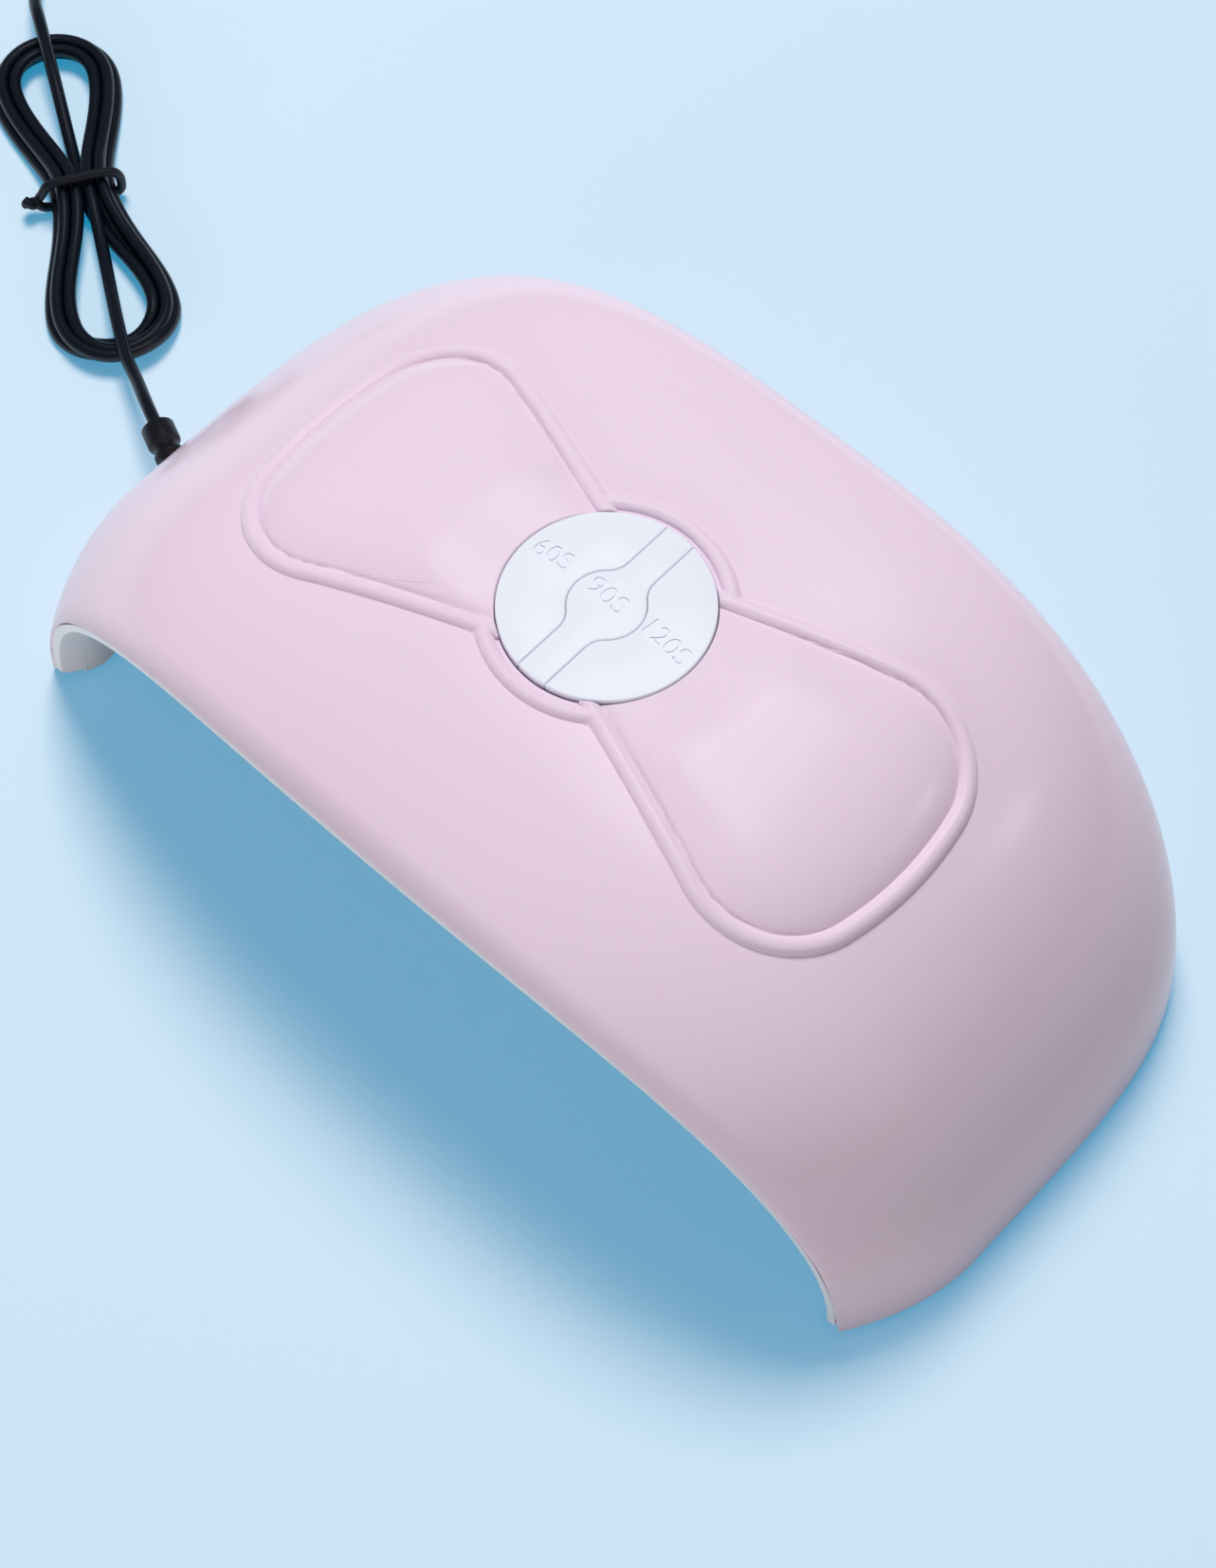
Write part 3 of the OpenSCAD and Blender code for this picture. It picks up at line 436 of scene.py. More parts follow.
def skin_rows(inset, roll, radii, end_rows, steps):
    """Points of a skin: rows at plan radii (a list per column), then evenly to the boundary, and
    closer together in the last few millimetres. Returns rows x columns x 3, feet at z = 0."""
    low = front_phi(theta, inset, roll)
    steep = np.radians(80)
    phi = steep + (low - steep) * np.linspace(0, 1, 240)[:, None]
    reach = reach_at(theta[None, :], phi, inset, roll)
    flat, high = reach * np.cos(phi), reach * np.sin(phi)
    step = np.hypot(np.diff(flat, axis=0), np.diff(high, axis=0))
    gone = np.vstack([np.zeros(len(theta)), np.cumsum(step, axis=0)])
    rows = np.zeros((len(radii) + steps + len(end_rows), len(theta)))
    for j in range(len(theta)):
        start = np.interp(radii[:, j], flat[:, j], gone[:, j])
        last = gone[-1, j] - end_rows[0]
        even = start[-1] + (last - start[-1]) * np.linspace(0, 1, steps + 1)[1:]
        wanted = np.concatenate([start, even, gone[-1, j] - np.array(end_rows[1:] + [0])])
        rows[:, j] = np.interp(wanted, gone[:, j], phi[:, j])
    rows[-1] = low
    reach = reach_at(theta[None, :], rows, inset, roll)
    flat = reach * np.cos(rows)
    return np.stack([flat * np.cos(theta), disc_y + flat * np.sin(theta), reach * np.sin(rows)], axis=2)


# Rows of the outer skin: a softened rim at the hole, the wing's middle, then close rows over the
# piping, whose offsets from the bow's edge are stretched where the edge runs slantwise
merge_power, slant_least, row_gap = 20, 0.27, 0.015
middle_steps, side_steps, inner_steps = 18, 34, 18
outer_end = [4.2, 3.5, 2.9, 2.3, 1.8, 1.3, 0.85, 0.4]     # last rows, this far from the boundary
inner_end = [1.6, 1.0, 0.4]
bow_edge = (wing_edge(theta) ** merge_power + (ring_mid + ring_half) ** merge_power) ** (1 / merge_power)
slope = np.gradient(bow_edge, np.unwrap(theta))
slant = np.clip(bow_edge / np.hypot(bow_edge, slope), slant_least, 1)
offsets = [6.4, 5.4, 4.7, 4.1, 3.7, 3.42, 3.25, 3.15, 2.95, 2.65,
           2.2, 1.65, 1.1, 0.65, 0.3, 0.1, 0.0, -0.1, -0.4, -1.2]
close_rows = [bow_edge - d / slant for d in offsets]
rim_steps = np.array([0.0, 0.04, 0.12, 0.24, rim_round])
rim_rows = [hole_r + r for r in rim_steps]
middle_rows = [hole_r + rim_round + (close_rows[0] - hole_r - rim_round) * k / middle_steps
               for k in range(1, middle_steps)]
radii = np.array([np.broadcast_to(r, theta.shape) for r in rim_rows + middle_rows + close_rows])
for i in range(1, len(radii)):
    radii[i] = np.maximum(radii[i], radii[i - 1] + row_gap)
outer = skin_rows(0, roll_r, radii, outer_end, side_steps)

# The bow is raised along the skin's normals
across = np.roll(outer, -1, axis=1) - np.roll(outer, 1, axis=1)
along = np.gradient(outer, axis=0)
normal = np.cross(along, across)
normal /= np.maximum(np.linalg.norm(normal, axis=2, keepdims=True), 1e-9)
normal *= np.sign(normal[..., 2:].mean())
raised = np.zeros(outer.shape[:2])
bow_rows = len(radii) + 3
plan = outer[:bow_rows]
lifted = bow_height(plan[..., 0].ravel(), (plan[..., 1] - disc_y).ravel())
raised[:bow_rows] = lifted.reshape(plan.shape[:2])
outer = outer + normal * raised[..., None]
outer[:len(rim_steps), :, 2] -= roll_drop(rim_steps, rim_round)[:, None]

# The inner skin, and the recessed seat round the hole
inner_radii = np.array([np.full(theta.shape, r) for r in (collar_r, collar_r + 1)])
inner = skin_rows(shell_wall, roll_r - shell_wall, inner_radii, inner_end, inner_steps)
outer[..., 2] += foot_z
inner[..., 2] += foot_z
hole, collar = (
    np.stack([r * np.cos(theta), disc_y + r * np.sin(theta), np.full(theta.shape, seat_z)], 1)
    for r in (hole_r, collar_r))
skins = np.concatenate([outer, inner[::-1], collar[None], hole[None]])


def closed_grid(name, points):
    """A mesh from rows that each close on themselves, the last row joined to the first."""
    rows, columns = points.shape[:2]
    index = np.arange(rows * columns).reshape(rows, columns)
    below, beside = np.roll(index, -1, axis=0), np.roll(index, -1, axis=1)
    faces = np.stack([index, below, np.roll(below, -1, axis=1), beside], axis=2).reshape(-1, 4)
    mesh = bpy.data.meshes.new(name)
    mesh.from_pydata((points.reshape(-1, 3) * MM).tolist(), [], faces.tolist())
    made = bpy.data.objects.new(name, mesh)
    bpy.context.scene.collection.objects.link(made)
    return made


def tidy_mesh(made, angle=32):
    """Merges doubles, turns the faces outwards and smooths all but the sharp edges."""
    bpy.ops.object.select_all(action="DESELECT")
    bpy.context.view_layer.objects.active = made
    made.select_set(True)
    bpy.ops.object.mode_set(mode="EDIT")
    bpy.ops.mesh.select_all(action="SELECT")
    bpy.ops.mesh.remove_doubles(threshold=0.000001)
    bpy.ops.mesh.normals_make_consistent(inside=False)
    bpy.ops.object.mode_set(mode="OBJECT")
    bpy.ops.object.shade_smooth_by_angle(angle=math.radians(angle))
    made.select_set(False)


pink_shell = closed_grid("pink_shell", skins)
tidy_mesh(pink_shell)

# Gloss moulded ABS: pale lilac pink all through, a soft even shine with very slight moulding waves
pink_abs, shader = new_material("gloss_moulded_abs_pink", IOR=1.54, Subsurface_Weight=0.12,
                                Subsurface_Radius=(1.0, 0.7, 0.9), Subsurface_Scale=0.0015)
place = add_node(pink_abs, "TexCoord")
waves = add_node(pink_abs, "TexNoise", {"Vector": place.outputs["Object"]}, Scale=45.0, Detail=1.0)
tint = add_node(pink_abs, "TexNoise", {"Vector": place.outputs["Object"]}, Scale=12.0, Detail=2.0)
colour = add_node(pink_abs, "ValToRGB", {"Fac": tint.outputs["Fac"]})
colour.color_ramp.elements[0].color = linear("#efd8eb")
colour.color_ramp.elements[1].color = linear("#f2ddef")
bump = add_node(pink_abs, "Bump", {"Height": waves.outputs["Fac"]}, Strength=0.1, Distance=0.0006)
polish = add_node(pink_abs, "MapRange", {"Value": waves.outputs["Fac"]}, To_Min=0.17, To_Max=0.24)
feed(shader, Base_Color=colour.outputs["Color"], Normal=bump.outputs["Normal"],
     Roughness=polish.outputs["Result"])
pink_shell.data.materials.append(pink_abs)
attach(pink_shell, "lamp")
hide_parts("top_shell")

# ---------------------------------------------------------------- white liner
# One moulded liner in gloss white ABS under the shell: deep inside it is a low arch, and it flares
# out to a thin white lip that shows under the shell's front roll. A flat flange closes the feet.
liner_side, liner_top, liner_wall = 10.5, 14.2, 1.8
lip_side, lip_top, flare_len = 1.0, 3.65, 12.0
liner_base = 1.0
flange_t, flange_out, flange_bead = 3.0, 2.55, 0.05
columns, lip_rows, deep_rows, flange_steps = 120, 14, 44, 40
across_t = np.sin(np.radians(np.linspace(-90, 90, columns + 1)))
# The lip starts just behind the shell's edge at the crown and just before it at the feet
lip_back, lip_gain = 0.08, 0.14
lip_start = lip_back - lip_gain * np.abs(across_t) ** inset_power


def flare(s):
    """1 at the lip's edge, falling to 0 where the deep arch starts."""
    return (1 - np.clip(s / flare_len, None, 1)) ** 2


def liner_rows(more):
    """Rows of a liner skin from the lip to the tip at the foot of its back wall."""
    start = edge_y(across_t) + lip_start
    turn = start + flare_len
    back = back_y - liner_side - more
    y = [start + flare_len * (1 - math.cos(math.pi / 2 * i / lip_rows)) for i in range(lip_rows)]
    y += [turn + (back - turn) * math.sin(math.pi / 2 * i / deep_rows) for i in range(deep_rows)]
    y = np.array(y)
    s = y - edge_y(across_t) - lip_start
    side = liner_side + more + (lip_side - liner_side) * flare(s)
    top = liner_top + more + (lip_top - liner_top) * flare(s) + liner_base
    x = across_t * half_at(y, side)
    z = foot_z + liner_base + arch(across_t) * rise(y, top, back_y - side)
    return np.stack([x, y, z], axis=2), np.array([0, back, foot_z + liner_base])


skin_a, tip_a = liner_rows(0)
skin_b, tip_b = liner_rows(liner_wall)
rows, wide = skin_a.shape[:2]
points = np.concatenate([skin_a.reshape(-1, 3), skin_b.reshape(-1, 3), [tip_a, tip_b]])
index_a = np.arange(rows * wide).reshape(rows, wide)
index_b = index_a + rows * wide
faces = []
for index, tip in ((index_a, len(points) - 2), (index_b, len(points) - 1)):
    quads = np.stack([index[:-1, :-1], index[1:, :-1], index[1:, 1:], index[:-1, 1:]], axis=2)
    faces += quads.reshape(-1, 4).tolist()
    faces += [[index[-1, j], tip, index[-1, j + 1]] for j in range(wide - 1)]
faces += [[index_a[0, j], index_a[0, j + 1], index_b[0, j + 1], index_b[0, j]] for j in range(wide - 1)]
for j in (0, wide - 1):
    faces += [[index_a[i, j], index_b[i, j], index_b[i + 1, j], index_a[i + 1, j]] for i in range(rows - 1)]
    faces.append([index_a[-1, j], index_b[-1, j], len(points) - 1, len(points) - 2])

# The flange: a flat strip from foot to foot round the back, between two outlines
run = np.sin(np.radians(90 * np.arange(flange_steps + 1) / flange_steps))
flange_front = float(edge_y(1)) + roll_r
out_y = flange_front + (back_y - flange_out - flange_front) * run
in_y = flange_front + (back_y - liner_side - liner_wall - flange_bead - flange_front) * run
flared = (lip_side - liner_side) * flare(in_y - float(edge_y(1)) - lip_start[-1])
out_x = half_at(out_y, flange_out)
in_x = half_at(in_y, liner_side + liner_wall + flange_bead + flared)
ring_out, ring_in = (
    [(x, y) for x, y in zip(xs, ys)] + [(-x, y) for x, y in zip(xs[-2::-1], ys[-2::-1])]
    for xs, ys in ((out_x, out_y), (in_x, in_y)))
base, count = len(points), len(ring_out)
extra = [(x, y, z) for z in (foot_z, foot_z + flange_t) for ring in (ring_out, ring_in) for x, y in ring]
lo_out, lo_in, hi_out, hi_in = (base + k * count for k in range(4))
for k in range(count - 1):
    for p, q in ((lo_out, lo_in), (lo_in, hi_in), (hi_in, hi_out), (hi_out, lo_out)):
        faces.append([p + k, p + k + 1, q + k + 1, q + k])
for k in (0, count - 1):
    faces.append([lo_out + k, lo_in + k, hi_in + k, hi_out + k])
mesh = bpy.data.meshes.new("white_liner")
mesh.from_pydata((np.concatenate([points, extra]) * MM).tolist(), [], faces)
white_liner = bpy.data.objects.new("white_liner", mesh)
bpy.context.scene.collection.objects.link(white_liner)
tidy_mesh(white_liner)

# Gloss white ABS, a little cool, with the same slight moulding waves
white_abs, shader = new_material("gloss_moulded_abs_white", Base_Color=linear("#f2f5fc"), IOR=1.54,
                                 Subsurface_Weight=0.1, Subsurface_Radius=(1.0, 1.0, 1.0),
                                 Subsurface_Scale=0.001)
place = add_node(white_abs, "TexCoord")
waves = add_node(white_abs, "TexNoise", {"Vector": place.outputs["Object"]}, Scale=60.0, Detail=1.0)
bump = add_node(white_abs, "Bump", {"Height": waves.outputs["Fac"]}, Strength=0.1, Distance=0.0005)
polish = add_node(white_abs, "MapRange", {"Value": waves.outputs["Fac"]}, To_Min=0.16, To_Max=0.26)
feed(shader, Normal=bump.outputs["Normal"], Roughness=polish.outputs["Result"])
white_liner.data.materials.append(white_abs)
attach(white_liner, "lamp")
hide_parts("inner_liner")

# ---------------------------------------------------------------- timer buttons
# Three white caps make up the disc: a band with a round bulge between two side caps, parted by
# thin S-shaped slots. Edges are softened, and each cap has its seconds engraved.
band_half, bulge_r, band_fillet = 3.0, 7.0, 5.0
cap_low, cap_top, cap_round = 69.5, 74.8, 0.3
cap_out = disc_r + 0.12               # the caps fill the hole but for a fine gap
band_grow, side_grow = 0.03, 0.4 / 3  # what the band gains and the side caps lose, leaving thin slots


def band_edge(grow):
    """Right-hand edge of the middle cap, grown by grow, from low y to high y."""
    bulge, bend, straight = bulge_r + grow, band_fillet - grow, band_half + grow
    a = straight + bend
    b = math.sqrt((bulge_r + band_fillet) ** 2 - a * a)
    touch = math.atan2(b, a)
    points = [(a - bend * math.cos(w), b - bend * math.sin(w)) for w in np.linspace(0, touch, 13)]
    points += [(bulge * math.cos(w), bulge * math.sin(w)) for w in np.linspace(touch, 0, 20)[1:]]
    return [(x, -y) for x, y in points] + points[-2::-1]


def cap_outline(kind, radius, grow):
    """Closed outline of a cap: kind 0 is the band, -1 and 1 the side caps."""
    edge_line = band_edge(grow)
    straight = edge_line[0][0]
    top = math.sqrt(radius ** 2 - straight ** 2)
    turn = math.atan2(top, straight)
    if kind == 0:
        side = [(straight, -top)] + edge_line + [(straight, top)]
        turns = np.linspace(turn, math.pi - turn, 16)[1:-1]
        over = [(radius * math.cos(w), radius * math.sin(w)) for w in turns]
        return side + over + [(-x, -y) for x, y in side + over]
    over = [(radius * math.cos(w), radius * math.sin(w)) for w in np.linspace(-turn, turn, 60)]
    return [(kind * x, y) for x, y in over + edge_line[::-1]]


def prism(name, outline, low, high):
    """A closed straight-sided block over an outline about the disc's axis."""
    mesh = bpy.data.meshes.new(name)
    corners = [(x * MM, (y + disc_y) * MM, low * MM) for x, y in outline]
    mesh.from_pydata(corners, [], [list(range(len(outline)))])
    made = bpy.data.objects.new(name, mesh)
    bpy.context.scene.collection.objects.link(made)
    bpy.ops.object.select_all(action="DESELECT")
    bpy.context.view_layer.objects.active = made
    made.select_set(True)
    bpy.ops.object.mode_set(mode="EDIT")
    bpy.ops.mesh.select_all(action="SELECT")
    bpy.ops.mesh.extrude_region_move(TRANSFORM_OT_translate={"value": (0, 0, (high - low) * MM)})
    bpy.ops.mesh.select_all(action="SELECT")
    bpy.ops.mesh.normals_make_consistent(inside=False)
    bpy.ops.object.mode_set(mode="OBJECT")
    return made


def apply_modifier(made, kind, **settings):
    """Adds a modifier with its settings and applies it."""
    bpy.ops.object.select_all(action="DESELECT")
    bpy.context.view_layer.objects.active = made
    made.select_set(True)
    modifier = made.modifiers.new("step", kind)
    for name, value in settings.items():
        setattr(modifier, name, value)
    bpy.ops.object.modifier_apply(modifier="step")


# Moulded white caps, gloss, slightly bluer than the liner
white_button, shader = new_material("gloss_moulded_abs_caps", Base_Color=linear("#eff4ff"), IOR=1.54,
                                    Subsurface_Weight=0.1, Subsurface_Radius=(1.0, 1.0, 1.0),
                                    Subsurface_Scale=0.001)
place = add_node(white_button, "TexCoord")
waves = add_node(white_button, "TexNoise", {"Vector": place.outputs["Object"]}, Scale=120.0, Detail=1.0)
polish = add_node(white_button, "MapRange", {"Value": waves.outputs["Fac"]}, To_Min=0.16, To_Max=0.24)
feed(shader, Roughness=polish.outputs["Result"])

label_high, label_deep = 3.6, 0.2
cutter_half, stroke_thin = 0.5, -0.04     # half the cutter's height; the strokes are drawn thinner
# Kind of cap, its seconds, and the label's place about the disc's axis, width and turn
cap_rows = [(-1, "60", -13.9, 1.3, 7.2, 7), (0, "90", -1.2, 1.5, 8.0, -3), (1, "120", 12.4, 1.4, 9.6, -7)]
for kind, seconds, label_x, label_y, label_wide, label_turn in cap_rows:
    outline = cap_outline(kind, cap_out, band_grow if kind == 0 else side_grow)
    cap = prism(f"cap_{seconds}", outline, cap_low, cap_top)
    apply_modifier(cap, "BEVEL", width=cap_round * MM, segments=3,
                   limit_method="ANGLE", angle_limit=math.radians(60))
    label = bpy.data.curves.new(f"label_{seconds}", "FONT")
    label.body = seconds + "S"
    label.size = 5 * MM
    label.extrude = cutter_half * MM
    label.offset = stroke_thin * MM
    label.align_x, label.align_y = "CENTER", "CENTER"
    cutter = bpy.data.objects.new(f"label_{seconds}", label)
    bpy.context.scene.collection.objects.link(cutter)
    bpy.ops.object.select_all(action="DESELECT")
    bpy.context.view_layer.objects.active = cutter
    cutter.select_set(True)
    bpy.ops.object.convert(target="MESH")
    cutter = bpy.context.active_object
    tidy_mesh(cutter)
    found = cutter.dimensions
    cutter.data.transform(
        Matrix.Translation(Vector((label_x, disc_y + label_y, cap_top - label_deep + cutter_half)) * MM)
        @ Matrix.Rotation(math.radians(label_turn), 4, "Z")
        @ Matrix.Diagonal((label_wide * MM / found.x, label_high * MM / found.y, 1, 1)))
    apply_modifier(cap, "BOOLEAN", object=cutter, operation="DIFFERENCE", solver="MANIFOLD")
    bpy.data.objects.remove(cutter)
    apply_modifier(cap, "TRIANGULATE", quad_method="BEAUTY", ngon_method="BEAUTY")
    cap.data.materials.clear()      # the cut leaves an empty slot
    cap.data.materials.append(white_button)
    tidy_mesh(cap, 40)
    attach(cap, f"button_{seconds}_body")
    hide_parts(f"button_{seconds}")

# ---------------------------------------------------------------- strain relief
# One black PVC moulding where the lead leaves the left foot: a flange held inside the wall, a neck
# with two grip ribs and a wide collar. It flexes a little, so its edges are soft.


def turned(name, profile, start, along, sides=40, bevel=0.0):
    """A turned piece: rings of (radius, distance) extruded one from another with the scale and move
    operators, closed at both ends, its axis then laid along a direction from a start point."""
    radius, first = profile[0]
    bpy.ops.object.select_all(action="DESELECT")
    bpy.ops.mesh.primitive_circle_add(vertices=sides, radius=radius * MM, fill_type="NGON",
                                      location=(0, 0, 0))
    made = bpy.context.active_object
    made.name = made.data.name = name
    bpy.ops.object.mode_set(mode="EDIT")
    bpy.ops.mesh.select_all(action="SELECT")
    bpy.ops.transform.translate(value=(0, 0, first * MM))
    for radius_next, far in profile[1:]:
        bpy.ops.mesh.extrude_region_move(TRANSFORM_OT_translate={"value": (0, 0, (far - first) * MM)})
        grow = radius_next / radius
        bpy.ops.transform.resize(value=(grow, grow, 1), center_override=(0, 0, far * MM))
        radius, first = radius_next, far
    bpy.ops.mesh.select_all(action="SELECT")
    bpy.ops.mesh.normals_make_consistent(inside=False)
    bpy.ops.object.mode_set(mode="OBJECT")
    if bevel:
        apply_modifier(made, "BEVEL", width=bevel * MM, segments=2,
                       limit_method="ANGLE", angle_limit=math.radians(35))
    turn = Vector((0, 0, 1)).rotation_difference(Vector(along)).to_matrix().to_4x4()
    made.data.transform(Matrix.Translation(Vector(start) * MM) @ turn)
    return made


relief_in, relief_flange = 5.6, 1.2       # depth behind the wall, thickness of the flange there
flange_end = relief_flange - relief_in
flange_r, neck_r, rib_r, relief_collar_r = 3.8, 2.5, 3.1, 3.4
strain_relief = turned("strain_relief_moulding", [
    (flange_r, -relief_in), (flange_r, flange_end), (neck_r, flange_end + 0.05),
    (neck_r, 1.8), (rib_r, 2.0), (rib_r, 3.1), (neck_r, 3.3),
    (neck_r, 4.6), (rib_r, 4.8), (rib_r, 5.9), (neck_r, 6.1),
    (neck_r, relief_len - 5.6), (relief_collar_r, relief_len - 4.9), (relief_collar_r, relief_len - 0.6),
    (cord_d / 2 + 0.6, relief_len), (cord_d / 2 + 0.1, relief_len + 0.02),
], outlet, outlet_dir, bevel=0.22)

# The same PVC from a mould with a fine matt texture
moulded_pvc, shader = new_material("moulded_soft_pvc", Base_Color=linear("#0c0f18"), IOR=1.53)
place = add_node(moulded_pvc, "TexCoord")
matt = add_node(moulded_pvc, "TexNoise", {"Vector": place.outputs["Object"]}, Scale=700.0, Detail=3.0)
bump = add_node(moulded_pvc, "Bump", {"Height": matt.outputs["Fac"]}, Strength=0.2, Distance=0.0001)
wear = add_node(moulded_pvc, "MapRange", {"Value": matt.outputs["Fac"]}, To_Min=0.38, To_Max=0.52)
feed(shader, Normal=bump.outputs["Normal"], Roughness=wear.outputs["Result"])
strain_relief.data.materials.append(moulded_pvc)
tidy_mesh(strain_relief, 40)
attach(strain_relief, "lamp")
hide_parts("strain_relief")

# ---------------------------------------------------------------- wire tie
# A plastic-covered soft wire bent once round the waist of the hank, its ends twisted together
# on the side towards the front.
tie_r, tie_out, tie_high = 1.0, 8.3, 8.4
# Places across the hank and above the table, from one twisted end round to the other
tie_path = [
    (tie_out + 3.9, 3.6), (tie_out + 3.0, 2.4), (tie_out + 1.9, 3.9), (tie_out + 0.9, 2.8),
    (tie_out - 0.4, 1.5), (tie_out - 2.2, tie_r + 0.05), (0, tie_r + 0.02), (-tie_out + 2.2, tie_r + 0.05),
    (-tie_out + 0.3, 1.9), (-tie_out, 3.6), (-tie_out + 0.1, tie_high - 2.2),
    (-tie_out + 1.0, tie_high - 0.5), (-tie_out + 2.8, tie_high), (0, tie_high + 0.15),
    (tie_out - 2.8, tie_high), (tie_out - 1.0, tie_high - 0.5), (tie_out - 0.1, tie_high - 2.4),
    (tie_out + 0.5, 4.7), (tie_out + 1.2, 3.2), (tie_out + 2.0, 2.6), (tie_out + 3.0, 4.3),
    (tie_out + 3.9, 4.7),
]
twist_u = [0.0, 1.0, 0.2, -0.9, -0.3] + [0.0] * 12 + [0.3, 0.9, -0.2, -1.0, 0.2]
tie_line = smooth_route([in_hank(tie_u + u, v, z) for u, (v, z) in zip(twist_u, tie_path)], 0.6)
wire_tie = round_strand("wire_tie", tie_line, tie_r)

# Smooth polythene cover with a fine matt grain
tie_cover, shader = new_material("covered_wire_pe", Base_Color=linear("#10151f"), IOR=1.51)
place = add_node(tie_cover, "TexCoord")
grain = add_node(tie_cover, "TexNoise", {"Vector": place.outputs["Object"]}, Scale=1200.0, Detail=2.0)
wear = add_node(tie_cover, "MapRange", {"Value": grain.outputs["Fac"]}, To_Min=0.42, To_Max=0.58)
feed(shader, Roughness=wear.outputs["Result"])
wire_tie.data.materials.append(tie_cover)
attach(wire_tie, "lamp")
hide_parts("cord_tie")

# ---------------------------------------------------------------- plug
# A flat overmoulded plug on the far end: a tapered relief with the lead in it, a grip with soft
# edges and finger ridges, and a folded steel shell round a white tongue with four contacts.
plug_relief, mould_w, mould_h, mould_len = 11.0, 16.0, 8.0, 24.0
metal_w, metal_h, metal_len, metal_wall = 12.0, 4.5, 12.0, 0.3
ridge_count, ridge_pitch, ridge_deep = 5, 2.4, 0.35
window_near, window_far, window_in, window_out = 4.2, 6.4, 1.4, 3.6
plug_turn = Matrix.Translation(Vector(plug_start) * MM) @ Matrix((
    (plug_dir[0], -plug_dir[1], 0), (plug_dir[1], plug_dir[0], 0), (0, 0, 1))).to_4x4()


def plug_block(name, low, high, bevel, segments=3):
    """A block between two corners along the plug's own axes, its edges rounded."""
    bpy.ops.object.select_all(action="DESELECT")
    bpy.ops.mesh.primitive_cube_add(size=1, location=(0, 0, 0))
    made = bpy.context.active_object
    made.name = made.data.name = name
    low, high = Vector(low) * MM, Vector(high) * MM
    made.data.transform(Matrix.Translation((low + high) / 2) @ Matrix.Diagonal((*(high - low), 1)))
    if bevel:
        apply_modifier(made, "BEVEL", width=bevel * MM, segments=segments)
    return made


mould_end, metal_end = plug_relief + mould_len, plug_relief + mould_len + metal_len
grip = plug_block("plug_grip", (plug_relief, -mould_w / 2, -mould_h / 2),
                  (mould_end, mould_w / 2, mould_h / 2), 1.9, 5)
ridges = plug_block("ridge_cutter", (plug_relief + 5, -20, mould_h / 2 - ridge_deep),
                    (plug_relief + 6, 20, mould_h / 2 + 2), 0)
apply_modifier(ridges, "ARRAY", count=ridge_count, use_relative_offset=False,
               use_constant_offset=True, constant_offset_displace=(ridge_pitch * MM, 0, 0))
apply_modifier(grip, "BOOLEAN", object=ridges, operation="DIFFERENCE", solver="MANIFOLD")
bpy.data.objects.remove(ridges)
taper = turned("plug_taper", [
    (cord_d / 2 + 0.35, 0), (2.2, 0.4), (2.2, 2.6), (1.9, 2.8), (1.9, 3.8), (2.5, 4.0), (2.5, 5.8),
    (2.1, 6.0), (2.1, 7.0), (2.9, 7.2), (3.2, plug_relief + 0.6),
], (0, 0, 0), (1, 0, 0), bevel=0.12)
bpy.ops.object.select_all(action="DESELECT")
taper.select_set(True)
grip.select_set(True)
bpy.context.view_layer.objects.active = grip
bpy.ops.object.join()
grip.data.transform(plug_turn)
grip.data.materials.clear()
grip.data.materials.append(moulded_pvc)
tidy_mesh(grip, 35)
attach(grip, "lamp")
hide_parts("plug_body")

steel_shell = plug_block("plug_steel_shell", (mould_end - 1, -metal_w / 2, -metal_h / 2),
                         (metal_end, metal_w / 2, metal_h / 2), 0.45)
hollow = plug_block("hollow_cutter", (mould_end, -metal_w / 2 + metal_wall, -metal_h / 2 + metal_wall),
                    (metal_end + 1, metal_w / 2 - metal_wall, metal_h / 2 - metal_wall), 0)
windows = [plug_block(f"window_cutter_{side}", (mould_end + window_near, low, 0),
                      (mould_end + window_far, high, metal_h), 0)
           for side, low, high in (("a", -window_out, -window_in), ("b", window_in, window_out))]
for cutter in [hollow] + windows:
    apply_modifier(steel_shell, "BOOLEAN", object=cutter, operation="DIFFERENCE", solver="MANIFOLD")
    bpy.data.objects.remove(cutter)
steel_shell.data.transform(plug_turn)
tidy_mesh(steel_shell, 35)

# Nickel-plated folded steel with fine rolling lines
plated_steel, shader = new_material("nickel_plated_steel", Base_Color=linear("#b9bcc2"), Metallic=1.0)
place = add_node(plated_steel, "TexCoord")
stretch = add_node(plated_steel, "Mapping", {"Vector": place.outputs["Object"]},
                   Scale=(200, 2500, 2500))
lines = add_node(plated_steel, "TexNoise", {"Vector": stretch.outputs["Vector"]}, Detail=2.0)
wear = add_node(plated_steel, "MapRange", {"Value": lines.outputs["Fac"]}, To_Min=0.22, To_Max=0.4)
feed(shader, Roughness=wear.outputs["Result"])
steel_shell.data.materials.append(plated_steel)
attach(steel_shell, "lamp")
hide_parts("plug_shell")

# Gold-flashed contacts on the tongue
gold, shader = new_material("gold_flashed_contact", Base_Color=linear("#d1ab56"), Metallic=1.0)
place = add_node(gold, "TexCoord")
lines = add_node(gold, "TexNoise", {"Vector": place.outputs["Object"]}, Scale=900.0)
wear = add_node(gold, "MapRange", {"Value": lines.outputs["Fac"]}, To_Min=0.2, To_Max=0.34)
feed(shader, Roughness=wear.outputs["Result"])


def finish_node(name, material):
    """A CAD piece keeps its shape and takes a real finish."""
    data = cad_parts[name].data
    data.materials.clear()
    data.materials.append(material)


finish_node("plug_contacts", gold)
finish_node("plug_tongue", white_abs)

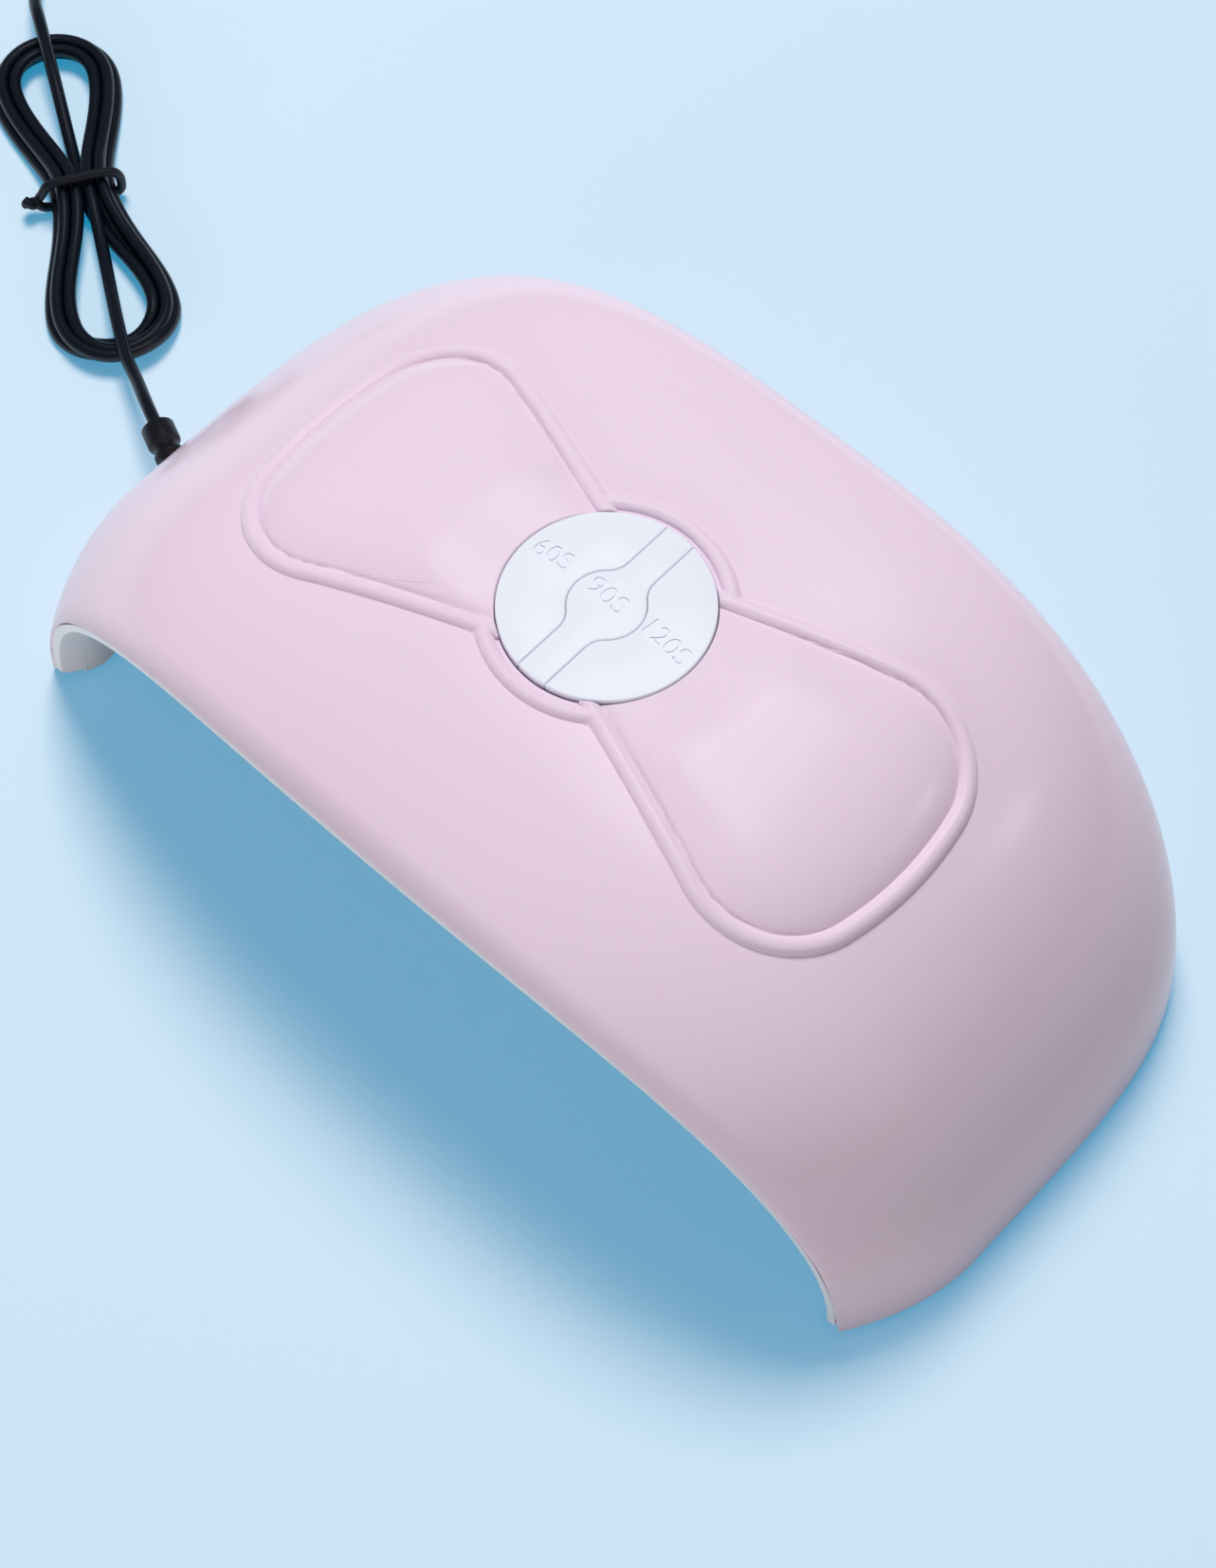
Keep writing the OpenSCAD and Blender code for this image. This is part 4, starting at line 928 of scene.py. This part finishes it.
# ---------------------------------------------------------------- control board
# A green glass-fibre board screwed to four posts under the crown, with three push switches, a
# controller, an electrolytic capacitor, small ceramic parts and two wire sockets.
board_lacquer, shader = new_material("solder_mask_on_glass_fibre", IOR=1.52)
place = add_node(board_lacquer, "TexCoord")
weave = add_node(board_lacquer, "TexChecker", {"Vector": place.outputs["Object"]}, Scale=1400.0)
tracks = add_node(board_lacquer, "TexVoronoi", {"Vector": place.outputs["Object"]}, Scale=330.0)
colour = add_node(board_lacquer, "ValToRGB", {"Fac": tracks.outputs["Distance"]})
colour.color_ramp.elements[0].color = linear("#235c39")
colour.color_ramp.elements[1].color = linear("#37794f")
bump = add_node(board_lacquer, "Bump", {"Height": weave.outputs["Fac"]}, Strength=0.15, Distance=0.00005)
wear = add_node(board_lacquer, "MapRange", {"Value": tracks.outputs["Distance"]}, To_Min=0.25, To_Max=0.4)
feed(shader, Base_Color=colour.outputs["Color"], Normal=bump.outputs["Normal"],
     Roughness=wear.outputs["Result"])
finish_node("control_board", board_lacquer)


def grained(name, code, scale, rough, metal=0.0, ior=1.5, dark=0.86):
    """A moulded, baked or plated finish whose fine grain varies its tone and its gloss."""
    material, shader = new_material(name, Metallic=metal, IOR=ior)
    place = add_node(material, "TexCoord")
    grain = add_node(material, "TexNoise", {"Vector": place.outputs["Object"]}, Scale=scale, Detail=3.0)
    grade = grain.outputs["Fac"]
    tone = add_node(material, "ValToRGB", {"Fac": grade})
    full = linear(code)
    tone.color_ramp.elements[0].color = [c * dark for c in full[:3]] + [1]
    tone.color_ramp.elements[1].color = full
    gloss = add_node(material, "MapRange", {"Value": grade}, To_Min=rough * 0.85, To_Max=rough * 1.2)
    relief = add_node(material, "Bump", {"Height": grade}, Strength=0.15, Distance=0.00006)
    feed(shader, Base_Color=tone.outputs["Color"], Roughness=gloss.outputs["Result"],
         Normal=relief.outputs["Normal"])
    return material


glass_nylon = grained("glass_filled_nylon", "#1e1f23", 1500.0, 0.5)
for name in ("switch_bodies", "controller_chip"):
    finish_node(name, glass_nylon)
plunger_pom = grained("acetal_plunger", "#e9eaee", 1200.0, 0.35)
for name in ("plunger_60", "plunger_90", "plunger_120"):
    finish_node(name, plunger_pom)
finish_node("wire_sockets", plunger_pom)
finish_node("capacitor", grained("printed_sleeve_pvc", "#2b3346", 500.0, 0.3))
finish_node("board_parts", grained("baked_ceramic", "#c8b48a", 2500.0, 0.6))

# ---------------------------------------------------------------- lamp boards and lamps
# Six narrow boards stand on pegs over the liner, and three clear violet-tinted epoxy lamps on each
# look through it. Pairs of red wires join the boards.
lamp_epoxy = grained("clear_violet_epoxy", "#d9d6f2", 300.0, 0.12, ior=1.56, dark=0.95)
shader = lamp_epoxy.node_tree.nodes["Principled BSDF"]
shader.inputs["Transmission Weight"].default_value = 0.55
for k in range(1, 7):
    finish_node(f"led_board_{k}", board_lacquer)
    finish_node(f"led_beads_{k}", lamp_epoxy)
finish_node("led_wires", grained("red_wire_pvc", "#b33a3a", 900.0, 0.4))
finish_node("power_wires", black_pvc)

# ---------------------------------------------------------------- screws and pads
# Zinc-plated pan-head screws hold the liner and the board, and four moulded rubber pads stand
# under the feet.
zinc = grained("zinc_plated_steel", "#babdc3", 1600.0, 0.32, metal=1.0)
for name in ("housing_screws", "board_screws"):
    finish_node(name, zinc)
rubber = grained("moulded_rubber", "#2b2b30", 1100.0, 0.75)
for side in ("front_left", "front_right", "back_left", "back_right"):
    finish_node(f"foot_pad_{side}", rubber)
